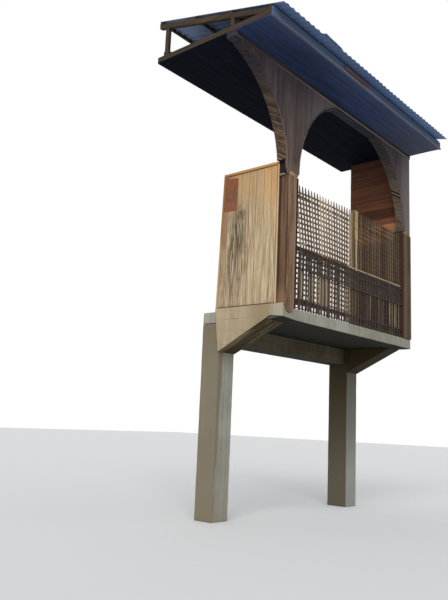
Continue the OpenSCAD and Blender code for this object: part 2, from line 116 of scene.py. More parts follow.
class Graph:
    """Adds nodes to one shader or Geometry Nodes tree."""

    def __init__(self, tree):
        self.tree = tree

    def pick(self, sockets, key):
        """A socket by its place or its name; of several with one name, the one in use."""
        if isinstance(key, int):
            return sockets[key]
        return next(s for s in sockets if s.name == key and s.enabled)

    def node(self, kind, inputs=None, out=0, **settings):
        """Adds a node: its settings first, then the values or links of its sockets."""
        made = self.tree.nodes.new(kind)
        for name, value in settings.items():
            setattr(made, name, value)
        for key, value in (inputs or {}).items():
            socket = self.pick(made.inputs, key)
            for item in value if isinstance(value, list) else [value]:
                if isinstance(item, Val):
                    self.tree.links.new(item.socket, socket)
                else:
                    socket.default_value = item
        if isinstance(out, tuple):
            return [Val(self, self.pick(made.outputs, key)) for key in out]
        return Val(self, self.pick(made.outputs, out))

    def math(self, operation, *values):
        return self.node("ShaderNodeMath", dict(enumerate(values)), operation=operation)

    def least(self, *values):
        return self.math("MINIMUM", *values)

    def most(self, *values):
        return self.math("MAXIMUM", *values)

    def limit(self, value, low, high):
        return self.most(self.least(value, high), low)

    def vector(self, operation, *values, out="Vector"):
        return self.node("ShaderNodeVectorMath", dict(enumerate(values)), out, operation=operation)

    def along(self, position, vector, amount):
        """position moved by vector times amount."""
        step = self.node("ShaderNodeVectorMath", {0: vector, "Scale": amount}, "Vector", operation="SCALE")
        return self.vector("ADD", position, step)

    def combine(self, x, y, z):
        return self.node("ShaderNodeCombineXYZ", {"X": x, "Y": y, "Z": z})

    def split(self, vector):
        return self.node("ShaderNodeSeparateXYZ", {"Vector": vector}, ("X", "Y", "Z"))

    def noise(self, vector, scale=1.0, detail=4.0, roughness=0.55):
        return self.node("ShaderNodeTexNoise",
                         {"Vector": vector, "Scale": scale, "Detail": detail, "Roughness": roughness})

    def stretched(self, place, scale, detail=4.0, roughness=0.55):
        """Noise with a scale of its own along each axis."""
        return self.noise(self.vector("MULTIPLY", place, scale), 1.0, detail, roughness)

    def sway(self, x, y, z):
        """Noise from -0.5 to 0.5."""
        return self.noise(self.combine(x, y, z), 1.0, 2.0) - 0.5

    def blend(self, factor, first, second):
        """first where factor is 0, second where it is 1. Each is a colour code or an output."""
        first, second = [tone(c) if isinstance(c, str) else c for c in (first, second)]
        return self.node("ShaderNodeMix", {"Factor": factor, "A": first, "B": second}, "Result",
                         data_type="RGBA")

    def random(self, low, high, number, seed):
        return self.node("FunctionNodeRandomValue", {"Min": low, "Max": high, "ID": number, "Seed": seed},
                         "Value", data_type="FLOAT")

    def index(self):
        return self.node("GeometryNodeInputIndex")

    def place(self):
        return self.split(self.node("GeometryNodeInputPosition"))

    def move(self, shape, position):
        return self.node("GeometryNodeSetPosition", {"Geometry": shape, "Position": position})

    def store(self, shape, name, value, kind="FLOAT", domain="POINT"):
        return self.node("GeometryNodeStoreNamedAttribute",
                         {"Geometry": shape, "Name": name, "Value": value}, data_type=kind, domain=domain)

    def vary(self, shape, name, low, high, seed):
        """Stores a random number for each instance."""
        return self.store(shape, name, self.random(low, high, self.index(), seed), domain="INSTANCE")

    def grain(self, shape, along, across, out):
        """Stores each point's place in its own board, which the timber finish reads."""
        return self.store(shape, "grain", self.combine(along, across, out), "FLOAT_VECTOR")

    def stored(self, name):
        return self.node("GeometryNodeInputNamedAttribute", {"Name": name}, "Attribute", data_type="FLOAT")

    def realize(self, shape):
        return self.node("GeometryNodeRealizeInstances", {"Geometry": shape})

    def join(self, *shapes):
        return self.node("GeometryNodeJoinGeometry", {"Geometry": list(shapes)})

    def cube(self, x, y, z, cuts=(2, 2, 2)):
        counts = dict(zip(("Vertices X", "Vertices Y", "Vertices Z"), cuts))
        return self.node("GeometryNodeMeshCube", {"Size": self.combine(x, y, z), **counts}, "Mesh")

    def points(self, count, x, y, z):
        return self.node("GeometryNodePoints", {"Count": count, "Position": self.combine(x, y, z)})

    def instances(self, points, shape, scale=(1.0, 1.0, 1.0), turn=(0.0, 0.0, 0.0), keep=True):
        return self.node("GeometryNodeInstanceOnPoints", {
            "Points": points, "Instance": shape, "Scale": scale, "Rotation": turn, "Selection": keep})

    def path(self, count):
        """A line of count points, and each point's share of its length."""
        line = self.node("GeometryNodeCurvePrimitiveLine")
        line = self.node("GeometryNodeResampleCurve", {"Curve": line, "Count": count})
        return line, self.node("GeometryNodeSplineParameter", out="Factor")

    def sweep(self, curve, width, height):
        """A strip of width by height along a curve."""
        profile = self.node("GeometryNodeCurvePrimitiveQuadrilateral", {"Width": width, "Height": height})
        return self.node("GeometryNodeCurveToMesh",
                         {"Curve": curve, "Profile Curve": profile, "Fill Caps": True})


# Geometry Nodes: trees with named sizes, and the pieces made with them

SOCKET_KINDS = {float: "NodeSocketFloat", int: "NodeSocketInt", tuple: "NodeSocketVector",
                bpy.types.Material: "NodeSocketMaterial"}
trees = {}


def shape_tree(build, sizes):
    """A Geometry Nodes tree with a named input for each size and for the material."""
    tree = bpy.data.node_groups.new(build.__name__, "GeometryNodeTree")
    for label, sample in sizes.items():
        tree.interface.new_socket(label, in_out="INPUT", socket_type=SOCKET_KINDS[type(sample)])
    tree.interface.new_socket("shape", in_out="OUTPUT", socket_type="NodeSocketGeometry")
    g = Graph(tree)
    entry = tree.nodes.new("NodeGroupInput")
    size = SimpleNamespace(**{socket.name: Val(g, socket) for socket in entry.outputs if socket.name})
    shape = g.realize(build(g, size))
    painted = g.node("GeometryNodeSetMaterial", {"Geometry": shape, "Material": size.material})
    last = tree.nodes.new("NodeGroupOutput")
    tree.links.new(painted.socket, last.inputs["shape"])
    return tree


def grown(name, build, **sizes):
    """Runs the tree of a build function once and keeps its result as a plain mesh."""
    key = (build, *sizes)
    if key not in trees:
        trees[key] = shape_tree(build, sizes)
    piece = bpy.data.objects.new(name, bpy.data.meshes.new(name))
    scene.collection.objects.link(piece)
    growth = piece.modifiers.new("shape", "NODES")
    growth.node_group = trees[key]
    for item in trees[key].interface.items_tree:
        if item.in_out == "INPUT":
            growth[item.identifier] = sizes[item.name]
    made = piece.evaluated_get(bpy.context.evaluated_depsgraph_get())
    mesh = bpy.data.meshes.new_from_object(made)
    piece.modifiers.clear()
    piece.data = mesh
    mesh.name = name
    form = bmesh.new()
    form.from_mesh(mesh)
    bmesh.ops.recalc_face_normals(form, faces=form.faces)
    form.to_mesh(mesh)
    form.free()
    return piece


def ease(piece, width):
    """Cuts a small flat on the sharp edges."""
    edges = piece.modifiers.new("edges", "BEVEL")
    edges.width = width
    edges.segments = 1
    edges.limit_method = "ANGLE"
    edges.angle_limit = math.radians(40)


def thicken(piece, thickness, offset=-1.0):
    solid = piece.modifiers.new("thick", "SOLIDIFY")
    solid.thickness = thickness
    solid.offset = offset


def settle(piece, slot, replaces=(), bevel=0.0):
    """Lets a finished piece ride on the frame and hides the nodes that it stands for. slot is not used."""
    if bevel:
        ease(piece, bevel)
    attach(piece, "root")
    if replaces:
        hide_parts(*replaces)


# Boards side by side

AXES = {"x": Vector((1, 0, 0)), "y": Vector((0, 1, 0)), "z": Vector((0, 0, 1))}


def arch_height(g, size, x):
    """Height of the arches' edge over the springing at x."""
    into = g.least(x - size.left_jamb, size.right_jamb - x)
    into = g.limit(g.most(into, size.cut_jamb - x), 0.0, size.run)
    away = size.radius - into
    return g.math("SQRT", size.radius * size.radius - away * away)


def boards_shape(g, size):
    """Boards of uneven width, their feet cut to the arches where the sizes give these."""
    arched = hasattr(size, "radius")
    share = g.random(1.0 - size.variation, 1.0 + size.variation, g.index(), size.seed)
    before, total = g.node("GeometryNodeAccumulateField", {"Value": share}, ("Trailing", "Total"),
                           data_type="FLOAT", domain="POINT")
    unit = size.width / total
    points = g.points(size.boards, 0.0, 0.0, 0.0)
    points = g.move(points, g.combine((before + share * 0.5) * unit, 0.0, 0.0))
    board = g.cube(1.0, 1.0, 1.0, (5 if arched else 2, 2, 9))
    board = g.store(board, "across", g.place()[0])
    row = g.instances(points, board, g.combine(share * unit - size.gap, 1.0, 1.0))
    for step, (name, low) in enumerate((("shade", 0.0), ("slip", 0.0), ("end", -1.0))):
        row = g.vary(row, name, low, 1.0, size.seed + (step + 1))
    row = g.realize(row)
    across, depth, height = g.place()
    part = height + 0.5
    low = size.ragged * g.stored("end") * (1.0 - part)
    if arched:
        low = low + arch_height(g, size, g.split(size.origin)[0] + across)
    along = low + part * (size.length - low)
    across = across + g.sway(g.stored("shade") * 37.0, along * 1.3, 0.0) * size.wave
    out = (depth + 0.5) * (size.thickness - g.stored("slip") * size.slip)
    row = g.grain(row, along, across, out)
    position = g.along(g.along(size.origin, size.across, across), size.along, along)
    return g.move(row, g.along(position, size.out, out))


def boards(name, node, across, out, material, slot, reshape=None, **sizes):
    """Boards for a node, which fill its box. across and out are axis letters, out with its sign."""
    low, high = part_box(node)
    reach, origin = high - low, Vector(low)
    out_way = AXES[out[-1]].copy()
    if out[0] == "-":
        origin += out_way * reach.dot(out_way)
        out_way.negate()
    across_way = AXES[across]
    along_way = next(AXES[letter] for letter in "zyx" if letter not in (across, out[-1]))
    values = {
        "material": material, "origin": tuple(origin), "across": tuple(across_way),
        "along": tuple(along_way), "out": tuple(out_way), "width": reach.dot(across_way),
        "length": reach.dot(along_way), "thickness": abs(reach.dot(out_way)), "variation": 0.2,
        "gap": 0.003, "slip": 0.003, "ragged": 0.0, "wave": 0.003, **sizes,
    }
    piece = grown(name, boards_shape, **values)
    if reshape:
        for vert in piece.data.vertices:
            vert.co = reshape(vert.co)
    settle(piece, slot, [node], bevel=0.0015)


# The lattice: upright laths in front, rows of cross laths behind them

def upright_laths(g, size):
    """Laths with narrowed tips. Beside the left jamb they lean, down to the handrail."""
    uneven, tip, narrow, wander = 0.012, 0.032, 0.35, 0.012
    x = size.left + size.first + g.index() * size.pitch
    points = g.points(size.uprights, x, size.front + size.depth * 0.5, size.foot)
    laths = g.instances(points, g.cube(size.lath, size.depth, 1.0, (3, 2, 26)))
    laths = g.vary(laths, "shade", 0.0, 1.0, size.seed)
    laths = g.realize(g.store(laths, "middle", x, domain="INSTANCE"))
    x, y, z = g.place()
    shade, middle = g.stored("shade"), g.stored("middle")
    place = (middle - size.left) / (size.right - size.left)
    high = size.top_left + (size.top_right - size.top_left) * place - shade * uneven
    height = size.foot + (z - size.foot + 0.5) * (high - size.foot)
    point = (high - height).ramp(0.0, tip)
    side = (x - middle) * (narrow + (1.0 - narrow) * point)
    sway = g.sway(middle * 9.0, height * 1.6, shade * 20.0)
    down = g.least(high - height, 1.0)
    x = middle + side + sway * wander + size.lean * down * (1.0 - place)
    return g.move(g.grain(laths, height, side, y), g.combine(x, y, height))


def cross_laths(g, size):
    """Rows of laths behind the uprights, counted from the top one down."""
    end_gap, wander = 0.002, 0.014
    index = g.index()
    width = size.right - size.left
    y = size.front + size.depth + size.row_depth * 0.5
    points = g.points(size.rows, (size.left + size.right) * 0.5, y, index * size.row_pitch * -1.0)
    lath = g.cube(1.0, size.row_depth, size.row_lath, (28, 2, 2))
    tall = g.random(0.9, 1.1, index, size.seed + 5)
    laths = g.instances(points, lath, g.combine(width - 2 * end_gap, 1.0, tall))
    # The rows take lower shade values than the uprights, so the timber finish paints them darker: painted
    # shade behind the uprights
    laths = g.realize(g.vary(laths, "shade", -0.5, 0.1, size.seed + 6))
    x, y, z = g.place()
    place = (x - size.left) / width
    level = size.row_left + (size.row_right - size.row_left) * place
    level = level + size.row_bow * place * (1.0 - place) * 4.0
    sway = g.sway(x * 1.7, g.stored("shade") * 40.0, 0.0)
    return g.move(g.grain(laths, x, z, y), g.combine(x, y, z + level + sway * wander))


def lattice_shape(g, size):
    return g.join(upright_laths(g, size), cross_laths(g, size))


def lattice(node, left, right, tops, rows, row_bow, lean, seed):
    """One panel. tops and rows: the heights of its top line and of its first row, left and right."""
    pitch, lath, row_pitch, row_lath = 0.0845, 0.034, 0.079, 0.031
    low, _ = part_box(node)
    gaps = int((right - left - lath) / pitch)
    piece = grown(node + "_laths", lattice_shape, material=wood["lattice"], left=left, right=right,
                  foot=low.z, top_left=tops[0], top_right=tops[1], front=low.y, uprights=gaps + 1,
                  first=(right - left - gaps * pitch) / 2, pitch=pitch, lath=lath, depth=0.010,
                  rows=int((min(rows) - row_lath / 2 - low.z) / row_pitch) + 1, row_left=rows[0],
                  row_right=rows[1], row_pitch=row_pitch, row_lath=row_lath, row_bow=row_bow,
                  row_depth=0.008, lean=lean, seed=seed)
    settle(piece, "lattice_timber", [node])


# Arches: cross laths on the soffit, and the strip along the edge

def arch_point(g, size, angle, reach):
    """X and Z on the side curve of an arch, at reach from its centre."""
    x = size.jamb + size.side * (size.radius - reach * g.math("COSINE", angle))
    return x, size.springing + reach * g.math("SINE", angle)


def soffit_shape(g, size):
    """Laths nailed aslant: laid out flat, with u along the arch, and then bent round it."""
    index = g.index()
    length = size.turn * size.radius
    depth = size.back - size.front
    before = depth * size.slant * 0.5
    points = g.points(g.math("FLOOR", (length - size.start + before * 2.0) / size.pitch),
                      size.start - before + (index + 0.5) * size.pitch, 0.0, 0.0)
    wide = g.random(0.8, 1.1, index, size.seed)
    here = g.math("GREATER_THAN", g.random(0.0, 1.0, index, size.seed + 1), 0.03)
    laths = g.instances(points, g.cube(size.lath, 1.0, size.thickness, (2, 9, 2)),
                        g.combine(wide, depth, 1.0), keep=here)
    laths = g.realize(g.vary(laths, "shade", 0.0, 1.0, size.seed + 2))
    u, v, w = g.place()
    u = g.limit(u + v * size.slant, size.start, length)
    x, z = arch_point(g, size, u / size.radius, size.radius - size.thickness * 0.5 - w)
    return g.move(g.grain(laths, v, u, w), g.combine(x, (size.front + size.back) * 0.5 + v, z))


def trim_shape(g, size):
    line, part = g.path(56)
    x, z = arch_point(g, size, part * size.turn, size.radius + size.width * 0.5)
    strip = g.sweep(g.move(line, g.combine(x, size.front, z)), size.width, size.thickness)
    x, y, z = g.place()
    return g.grain(g.store(strip, "shade", 0.6), z, x, y)


def arch_dressing(name, jamb, side, start, finish, seed):
    soffit = grown(name + "_soffit", soffit_shape, material=finish, jamb=jamb, side=side, start=start,
                   front=face_low.y + 0.004, back=post_high.y - 0.002, pitch=0.035, lath=0.026,
                   thickness=0.007, slant=0.65, seed=seed, **arch_curve)
    settle(soffit, "rib_timber")
    trim = grown(name + "_trim", trim_shape, material=wood["trim"], jamb=jamb, side=side,
                 front=face_low.y - 0.005, width=0.014, thickness=0.010, **arch_curve)
    settle(trim, "spandrel_timber")


# The iron balustrade: bars, rings under the handrail, and scrolls at head and foot

def scroll_curve(g, length, curl, power, points):
    """A C scroll that stands upright: it runs straight at mid height and curls in at both ends."""
    line, part = g.path(points)
    s = part * 2.0 - 1.0
    angle = math.pi / 2 - s * abs(s) ** power * curl
    step = length / (points - 1)
    move = g.combine(g.math("COSINE", angle) * step, 0.0, g.math("SINE", angle) * step)
    run, total = g.node("GeometryNodeAccumulateField", {"Value": move}, ("Leading", "Total"),
                        data_type="FLOAT_VECTOR", domain="POINT")
    middle = g.vector("MULTIPLY", total, (0.0, 0.0, 0.5))
    return g.move(line, g.vector("SUBTRACT", run, middle))


def iron_shape(g, size):
    # A scroll's length as a share of its zone's height, how far it curls, its points, and half the space
    # between a bay's two scrolls as a share of the bay
    scroll_length, curl, scroll_points, apart = 1.62, 5.4, 36, 0.44
    index = g.index()
    step = (size.right - size.left) / (size.bars + 1)
    line = size.line
    ring_z = size.top - size.rail - size.ring_zone
    scroll_z = ring_z - size.scroll_zone
    foot_z = size.foot + size.rail
    # Bars, of which some stand on the floor
    stands = g.math("COMPARE", index % size.stand_step, 0.0, 0.1)
    low = size.foot + (size.floor - size.foot) * stands
    high = size.top - size.rail * 0.5
    spots = g.points(size.bars, size.left + step * (index + 1), line, (low + high) * 0.5)
    bar = g.cube(size.bar, size.bar, 1.0, (2, 2, 12))
    parts = [g.instances(spots, bar, g.combine(1.0, 1.0, high - low))]
    # Rails, with the handrail on top
    middle = (size.left + size.right) * 0.5
    for top, depth in ((size.top, size.handrail), (ring_z, size.rail_width), (scroll_z, size.rail_width),
                       (foot_z + size.foot_zone, size.rail_width), (foot_z, size.rail_width)):
        rail = g.cube(size.right - size.left, depth, size.rail, (40, 2, 2))
        parts.append(g.instances(g.points(1, middle, line, top - size.rail * 0.5), rail))
    # Rings and scrolls, one set in each bay between two bars
    bay_x = size.left + step * (index + 0.5)
    bays = size.bars + 1
    ring = g.node("GeometryNodeCurvePrimitiveCircle",
                  {"Resolution": 18, "Radius": size.ring_zone * 0.5 - size.gauge * 0.5}, mode="RADIUS")
    ring = g.node("GeometryNodeTransform", {"Geometry": ring, "Rotation": (math.pi / 2, 0.0, 0.0)})
    spots = g.points(bays, bay_x, line, ring_z + size.ring_zone * 0.5)
    parts.append(g.instances(spots, g.sweep(ring, size.gauge, size.strip)))
    for zone_low, zone, power in ((scroll_z, size.scroll_zone, 2.2), (foot_z, size.foot_zone, 1.6)):
        curve = scroll_curve(g, zone * scroll_length, curl, power, scroll_points)
        scroll = g.sweep(curve, size.gauge, size.strip)
        for side in (-1.0, 1.0):
            spots = g.points(bays, bay_x + side * step * apart, line, zone_low + zone * 0.48)
            parts.append(g.instances(spots, scroll, turn=(0.0, 0.0, math.pi if side > 0 else 0.0)))
    # The whole is slightly bent, and rises towards its left end
    bent_along, bent_out = 0.008, 0.006
    whole = g.realize(g.join(*parts))
    x, y, z = g.place()
    bend = g.sway(x * 2.1, y, z * 2.7)
    rock = g.sway(x * 3.3, y + 5.0, z * 1.9)
    rise = size.rise * g.most(-x, 0.0) ** 0.65
    z = z + rise * g.most((z - size.foot) / (size.top - size.foot), 0.0)
    return g.move(whole, g.combine(x + bend * bent_along, y + rock * bent_out, z))


# Roof sheets

def sheet_level(g, size, x, y):
    """Height of the sheets over their seat: ribs, dents, and a lift where they lap."""
    flank, dent_depth = 0.14, 0.007
    part = g.math("FRACT", (x - size.left) / size.pitch)
    ridge = g.limit(g.least((part - 0.50) / flank, (1.10 - part) / flank), 0.0, 1.0)
    start = g.most(1.0 - part / 0.10, 0.0) * g.math("GREATER_THAN", x, size.left + 0.02)
    dent = g.noise(g.combine(x * 1.7, y * 1.1, 0.0), 1.0, 3.0)
    return g.most(ridge, start) * (size.rib - 0.008) + dent * dent_depth


def sheets_shape(g, size):
    grid = g.node("GeometryNodeMeshGrid", {"Size X": size.right - size.left, "Size Y": 1.0,
                                           "Vertices X": 560, "Vertices Y": 26}, "Mesh")
    x, y, _ = g.place()
    x = x + (size.left + size.right) * 0.5
    number = g.math("FLOOR", (x - size.left) / (size.pitch * size.sheet_ribs))
    slip = g.random(0.0, 1.0, number, 4) * size.slip
    y = size.eave + slip + (y + 0.5) * (size.run - slip)
    z = size.level + 0.001 + (y - size.eave) * size.slope + sheet_level(g, size, x, y)
    return g.move(grid, g.combine(x, y, z))


# Nail heads on a grid

def heads_shape(g, size):
    index = g.index()
    column = index % size.columns
    row = g.math("FLOOR", index / size.columns)
    position = size.origin
    for way, amount, step in ((size.across, column, 0), (size.along, row, 1)):
        stray = g.random(-1.0, 1.0, index, size.seed + step) * size.stray
        position = g.along(position, way, amount)
        position = g.along(position, g.vector("NORMALIZE", way), stray)
    points = g.move(g.points(size.columns * size.rows, 0.0, 0.0, 0.0), position)
    head = g.node("GeometryNodeMeshCylinder", {"Vertices": 8, "Radius": size.radius, "Depth": size.height},
                  "Mesh")
    return g.instances(points, head, turn=size.turn)


# Mesh code for single pieces

def mesh_piece(name, form, material):
    """Keeps a bmesh as a piece."""
    mesh = bpy.data.meshes.new(name)
    form.to_mesh(mesh)
    form.free()
    mesh.materials.append(material)
    piece = bpy.data.objects.new(name, mesh)
    scene.collection.objects.link(piece)
    return piece


def node_form(node):
    """A node's mesh as a bmesh, with its split points joined."""
    form = bmesh.new()
    form.from_mesh(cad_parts[node].data)
    bmesh.ops.remove_doubles(form, verts=form.verts, dist=1e-4)
    return form


def add_grid(form, places):
    """Faces between rows of places."""
    rows = [[form.verts.new(spot) for spot in row] for row in places]
    for row, after in zip(rows, rows[1:]):
        for i in range(len(row) - 1):
            form.faces.new((row[i], row[i + 1], after[i + 1], after[i]))


def stations(low, high, radius, cell):
    """Places along an edge, closer near its ends, where the rounding is."""
    inner = max(1, round((high - low - 2 * radius) / cell))
    middle = [low + radius + (high - low - 2 * radius) * i / inner for i in range(inner + 1)]
    return [low, low + radius * 0.4] + middle + [high - radius * 0.4, high]


def block_form(low, high, radius, cell):
    """The skin of a block as a bmesh of small faces."""
    lines = [stations(low[i], high[i], radius, cell) for i in range(3)]
    form = bmesh.new()
    for axis, first, second in ((0, 1, 2), (1, 0, 2), (2, 0, 1)):
        for end in (low[axis], high[axis]):
            rows = [[Vector() for _ in lines[second]] for _ in lines[first]]
            for row, a in zip(rows, lines[first]):
                for place, b in zip(row, lines[second]):
                    place[axis], place[first], place[second] = end, a, b
            add_grid(form, rows)
    bmesh.ops.remove_doubles(form, verts=form.verts, dist=1e-5)
    bmesh.ops.recalc_face_normals(form, faces=form.faces)
    return form


def worn_block(name, node, material, slot, radius=0.006, chip=0.6, uneven=0.002, cell=0.10, reshape=None,
               box=None):
    """Stands for a block-shaped node: rounded and chipped edges, faces a little uneven.
    With box it is only a part of one, and node may be None."""
    low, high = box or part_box(node)
    form = block_form(low, high, radius * 2.5, cell)
    for vert in form.verts:
        spot = vert.co.copy()
        broad, fine = noise.noise(spot * 7.0), noise.noise(spot * 23.0)
        round_r = radius * (1.0 + chip * 2.0 * max(0.0, broad * 0.6 + fine * 0.4 + 0.1))
        core = Vector([min(max(spot[i], low[i] + round_r), high[i] - round_r) for i in range(3)])
        away = spot - core
        if away.length > 1e-6:
            spot = core + away.normalized() * min(away.length, round_r)
            if sum(abs(part) > 1e-6 for part in away) == 1:
                spot -= away.normalized() * uneven * (0.5 + 0.5 * noise.noise(spot * 2.3))
        vert.co = reshape(spot, low, high) if reshape else spot
    piece = mesh_piece(name, form, material)
    for face in piece.data.polygons:
        face.use_smooth = True
    settle(piece, slot, [node] if node else ())


def node_copy(name, node, material, slot, reshape, bevel):
    """Stands for a node with a copy of its mesh whose vertices reshape moves."""
    form = node_form(node)
    for vert in form.verts:
        vert.co = reshape(vert.co.copy())
    settle(mesh_piece(name, form, material), slot, [node], bevel)


def keep_nodes(material, bevel, *names):
    """CAD nodes that stay, with their own finish and eased edges."""
    for name in names:
        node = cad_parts[name]
        if node.data.materials:
            for i in range(len(node.data.materials)):
                node.data.materials[i] = material
        else:
            node.data.materials.append(material)
        node.modifiers.new("weld", "WELD").merge_threshold = 1e-4
        ease(node, bevel)


# Finishes

def material_of(name, paint):
    """A material whose sockets paint sets, a function of its node tree."""
    made = bpy.data.materials.new(name)
    made.use_nodes = True
    shader = made.node_tree.nodes["Principled BSDF"]
    for key, value in paint(Graph(made.node_tree)).items():
        if isinstance(value, Val):
            made.node_tree.links.new(value.socket, shader.inputs[key])
        else:
            shader.inputs[key].default_value = value
    return made


class Marks:
    """A finish's colour, to which marks are added, and the object's place, which masks are made of."""

    def __init__(self, g, colour):
        self.g, self.colour = g, colour
        self.place = g.node("ShaderNodeTexCoord", out="Object")
        self.x, self.y, self.z = g.split(self.place)

    def add(self, colour, *masks):
        """Puts a colour where the product of the masks is 1."""
        self.colour = self.g.blend(math.prod(masks[1:], start=masks[0]), self.colour, colour)

    def noise(self, scale, detail, roughness=0.55):
        return self.g.noise(self.place, scale, detail, roughness)

    def stretched(self, scale, detail=4.0, roughness=0.55):
        return self.g.stretched(self.place, scale, detail, roughness)

    def streaks(self, fine, long=0.7):
        """Noise drawn out along Z."""
        return self.stretched((fine, fine, long), 4.0, 0.6)

    def facing(self, *way):
        """1 on the faces that look towards way, 0 on the others."""
        normal = self.g.node("ShaderNodeNewGeometry", out="Normal")
        return self.g.vector("DOT_PRODUCT", normal, way, out="Value").ramp(0.35, 0.75)

    def spot(self, centre, reach, ragged):
        """1 inside an ellipse, 0 outside, with a ragged edge."""
        away = self.g.vector("DIVIDE", self.g.vector("SUBTRACT", self.place, centre), reach)
        far = self.g.vector("LENGTH", away, out="Value")
        return (far + (self.noise(9.0, 4.0) - 0.5) * (ragged * 4.0)).ramp(1.1, 0.6)

    def finish(self, height, roughness, strength, distance, gloss=0.5, metallic=0.0):
        """The shader's inputs with this colour, and with height as a bump."""
        bump = {"Strength": strength, "Distance": distance, "Height": height}
        return {"Base Color": self.colour, "Roughness": roughness, "Metallic": metallic,
                "Specular IOR Level": gloss, "Normal": self.g.node("ShaderNodeBump", bump)}


def painted_underside_shade(code):
    """Painted shade: darkens the faces that look down."""
    return lambda m: m.add(code, m.facing(0.0, 0.0, -1.0))


def timber(name, dark, light, grey, axis=None, board=0.35, wear=0.3, crack=0.6, gloss=0.25, joint=0.0,
           marks=None):
    """Weathered wood. axis is the grain's direction, or None to read the boards' own grain.
    joint is the share of a board's width that its dark joints take."""
    def paint(g):
        m = Marks(g, dark)
        if axis is None:
            place = g.node("ShaderNodeAttribute", out="Vector", attribute_name="grain")
            shade = g.node("ShaderNodeAttribute", out="Fac", attribute_name="shade")
            place = g.vector("ADD", place, g.combine(shade * 31.0, shade * 17.0, 0.0))
        else:
            place = m.place
            shade = m.noise(0.7, 1.0)

        def fibres(along, across, detail, roughness=0.55):
            scale = [across] * 3
            scale["xyz".index(axis or "x")] = along
            return g.stretched(place, tuple(scale), detail, roughness)

        fibre = fibres(3.0, 110.0, 5.0, 0.65)
        figure = fibres(0.9, 17.0, 3.0)
        split = fibres(1.3, 70.0, 2.0).ramp(0.68, 0.76)
        level = 0.5 + (fibre - 0.5) * 1.1 + (figure - 0.5) * 1.3 + (shade - 0.5) * board * 2.0
        m.add(light, level.ramp(0.1, 0.95))
        m.add(grey, fibres(1.1, 6.0, 4.0, 0.6).ramp(0.42, 0.70), wear)
        m.add("140d09", split, crack)
        if marks:
            marks(m)
        if joint:
            across = g.node("ShaderNodeAttribute", out="Fac", attribute_name="across")
            m.add("3a2c1e", abs(across).ramp(0.5 - joint, 0.5 - joint * 0.4), 0.7)
        height = fibre * 0.5 + figure * 0.3 - split * 0.9
        return m.finish(height, roughness=0.85, strength=0.6, distance=0.0025, gloss=gloss)
    return material_of(name, paint)


def concrete(name, base, stain, pale, boards_along=None, marks=None):
    """Cast concrete with speckle, stains and the marks of its shuttering boards."""
    board_w = 0.105

    def paint(g):
        m = Marks(g, base)
        cloud = m.noise(1.6, 5.0, 0.6)
        speck = m.noise(90.0, 3.0, 0.7)
        m.add(stain, cloud.ramp(0.30, 0.70))
        m.add(pale, m.stretched((9.0, 9.0, 0.9)).ramp(0.50, 0.78), 0.55)
        m.add(stain, speck.ramp(0.58, 0.80), 0.35)
        height = cloud * 0.4 + speck * 0.25
        if boards_along:
            cross = getattr(m, boards_along) / board_w
            seam = abs(g.math("FRACT", cross) - 0.5).ramp(0.43, 0.49)
            lift = g.noise(g.combine(g.math("FLOOR", cross), 0.0, 0.0), 3.7, 0.0)
            m.add("2b2720", seam, 0.45)
            m.add(pale, lift.ramp(0.4, 0.7), 0.25)
            height = height + (1.0 - seam) * 0.7 + lift * 0.5
        if marks:
            marks(m)
        return m.finish(height, roughness=0.93, strength=0.5, distance=0.004, gloss=0.2)
    return material_of(name, paint)


def rusty_iron(name, base, rust, amount, fine_rust="6a5a55", metal=0.35, marks=None):
    """Iron that rusts in clouds; amount is how far they have spread."""
    def paint(g):
        m = Marks(g, base)
        cloud = m.noise(14.0, 5.0, 0.65)
        fine = m.noise(160.0, 3.0, 0.7)
        rusted = cloud.ramp(0.62 - amount * 0.35, 0.80 - amount * 0.2)
        m.add(rust, rusted)
        m.add(fine_rust, fine.ramp(0.55, 0.8), 0.4)
        if marks:
            marks(m)
        return m.finish(fine + cloud, roughness=0.62 + rusted * 0.25, strength=0.4, distance=0.0015,
                        metallic=(1.0 - rusted * 0.85) * metal)
    return material_of(name, paint)


def sheet_metal(g):
    """Dull ribbed sheet: streaks down the slope, rust at the eave, and underneath a painted slate-blue
    skylight tone in shade, lighter towards the right.
    """
    m = Marks(g, "6a7480")
    streak = m.stretched((14.0, 0.7, 0.7), 5.0, 0.6)
    cloud = m.noise(3.0, 4.0)
    edge = (m.y - (streak - 0.5) * 0.5).ramp(sheets_low.y + 0.35, sheets_low.y)
    under = m.facing(0.0, 0.0, -1.0)
    m.add("8b929a", cloud.ramp(0.3, 0.7))
    m.add("7a6553", streak.ramp(0.52, 0.75), 0.6)
    m.add("6b4331", edge, 0.5)
    # Painted light: the faces that look down get a blue skylight tone, lighter towards the right, in place of
    # the sheet's colour
    m.add(g.blend(m.x.ramp(-1.5, 1.5), "637ca6", "7390bb"), under)
    return m.finish(cloud + streak * 0.3, roughness=0.55 + edge * 0.25, strength=0.25, distance=0.003,
                    metallic=(0.45 - edge * 0.35) * (1.0 - under))


# Marks of single pieces. Their places are in metres, in the object's frame.

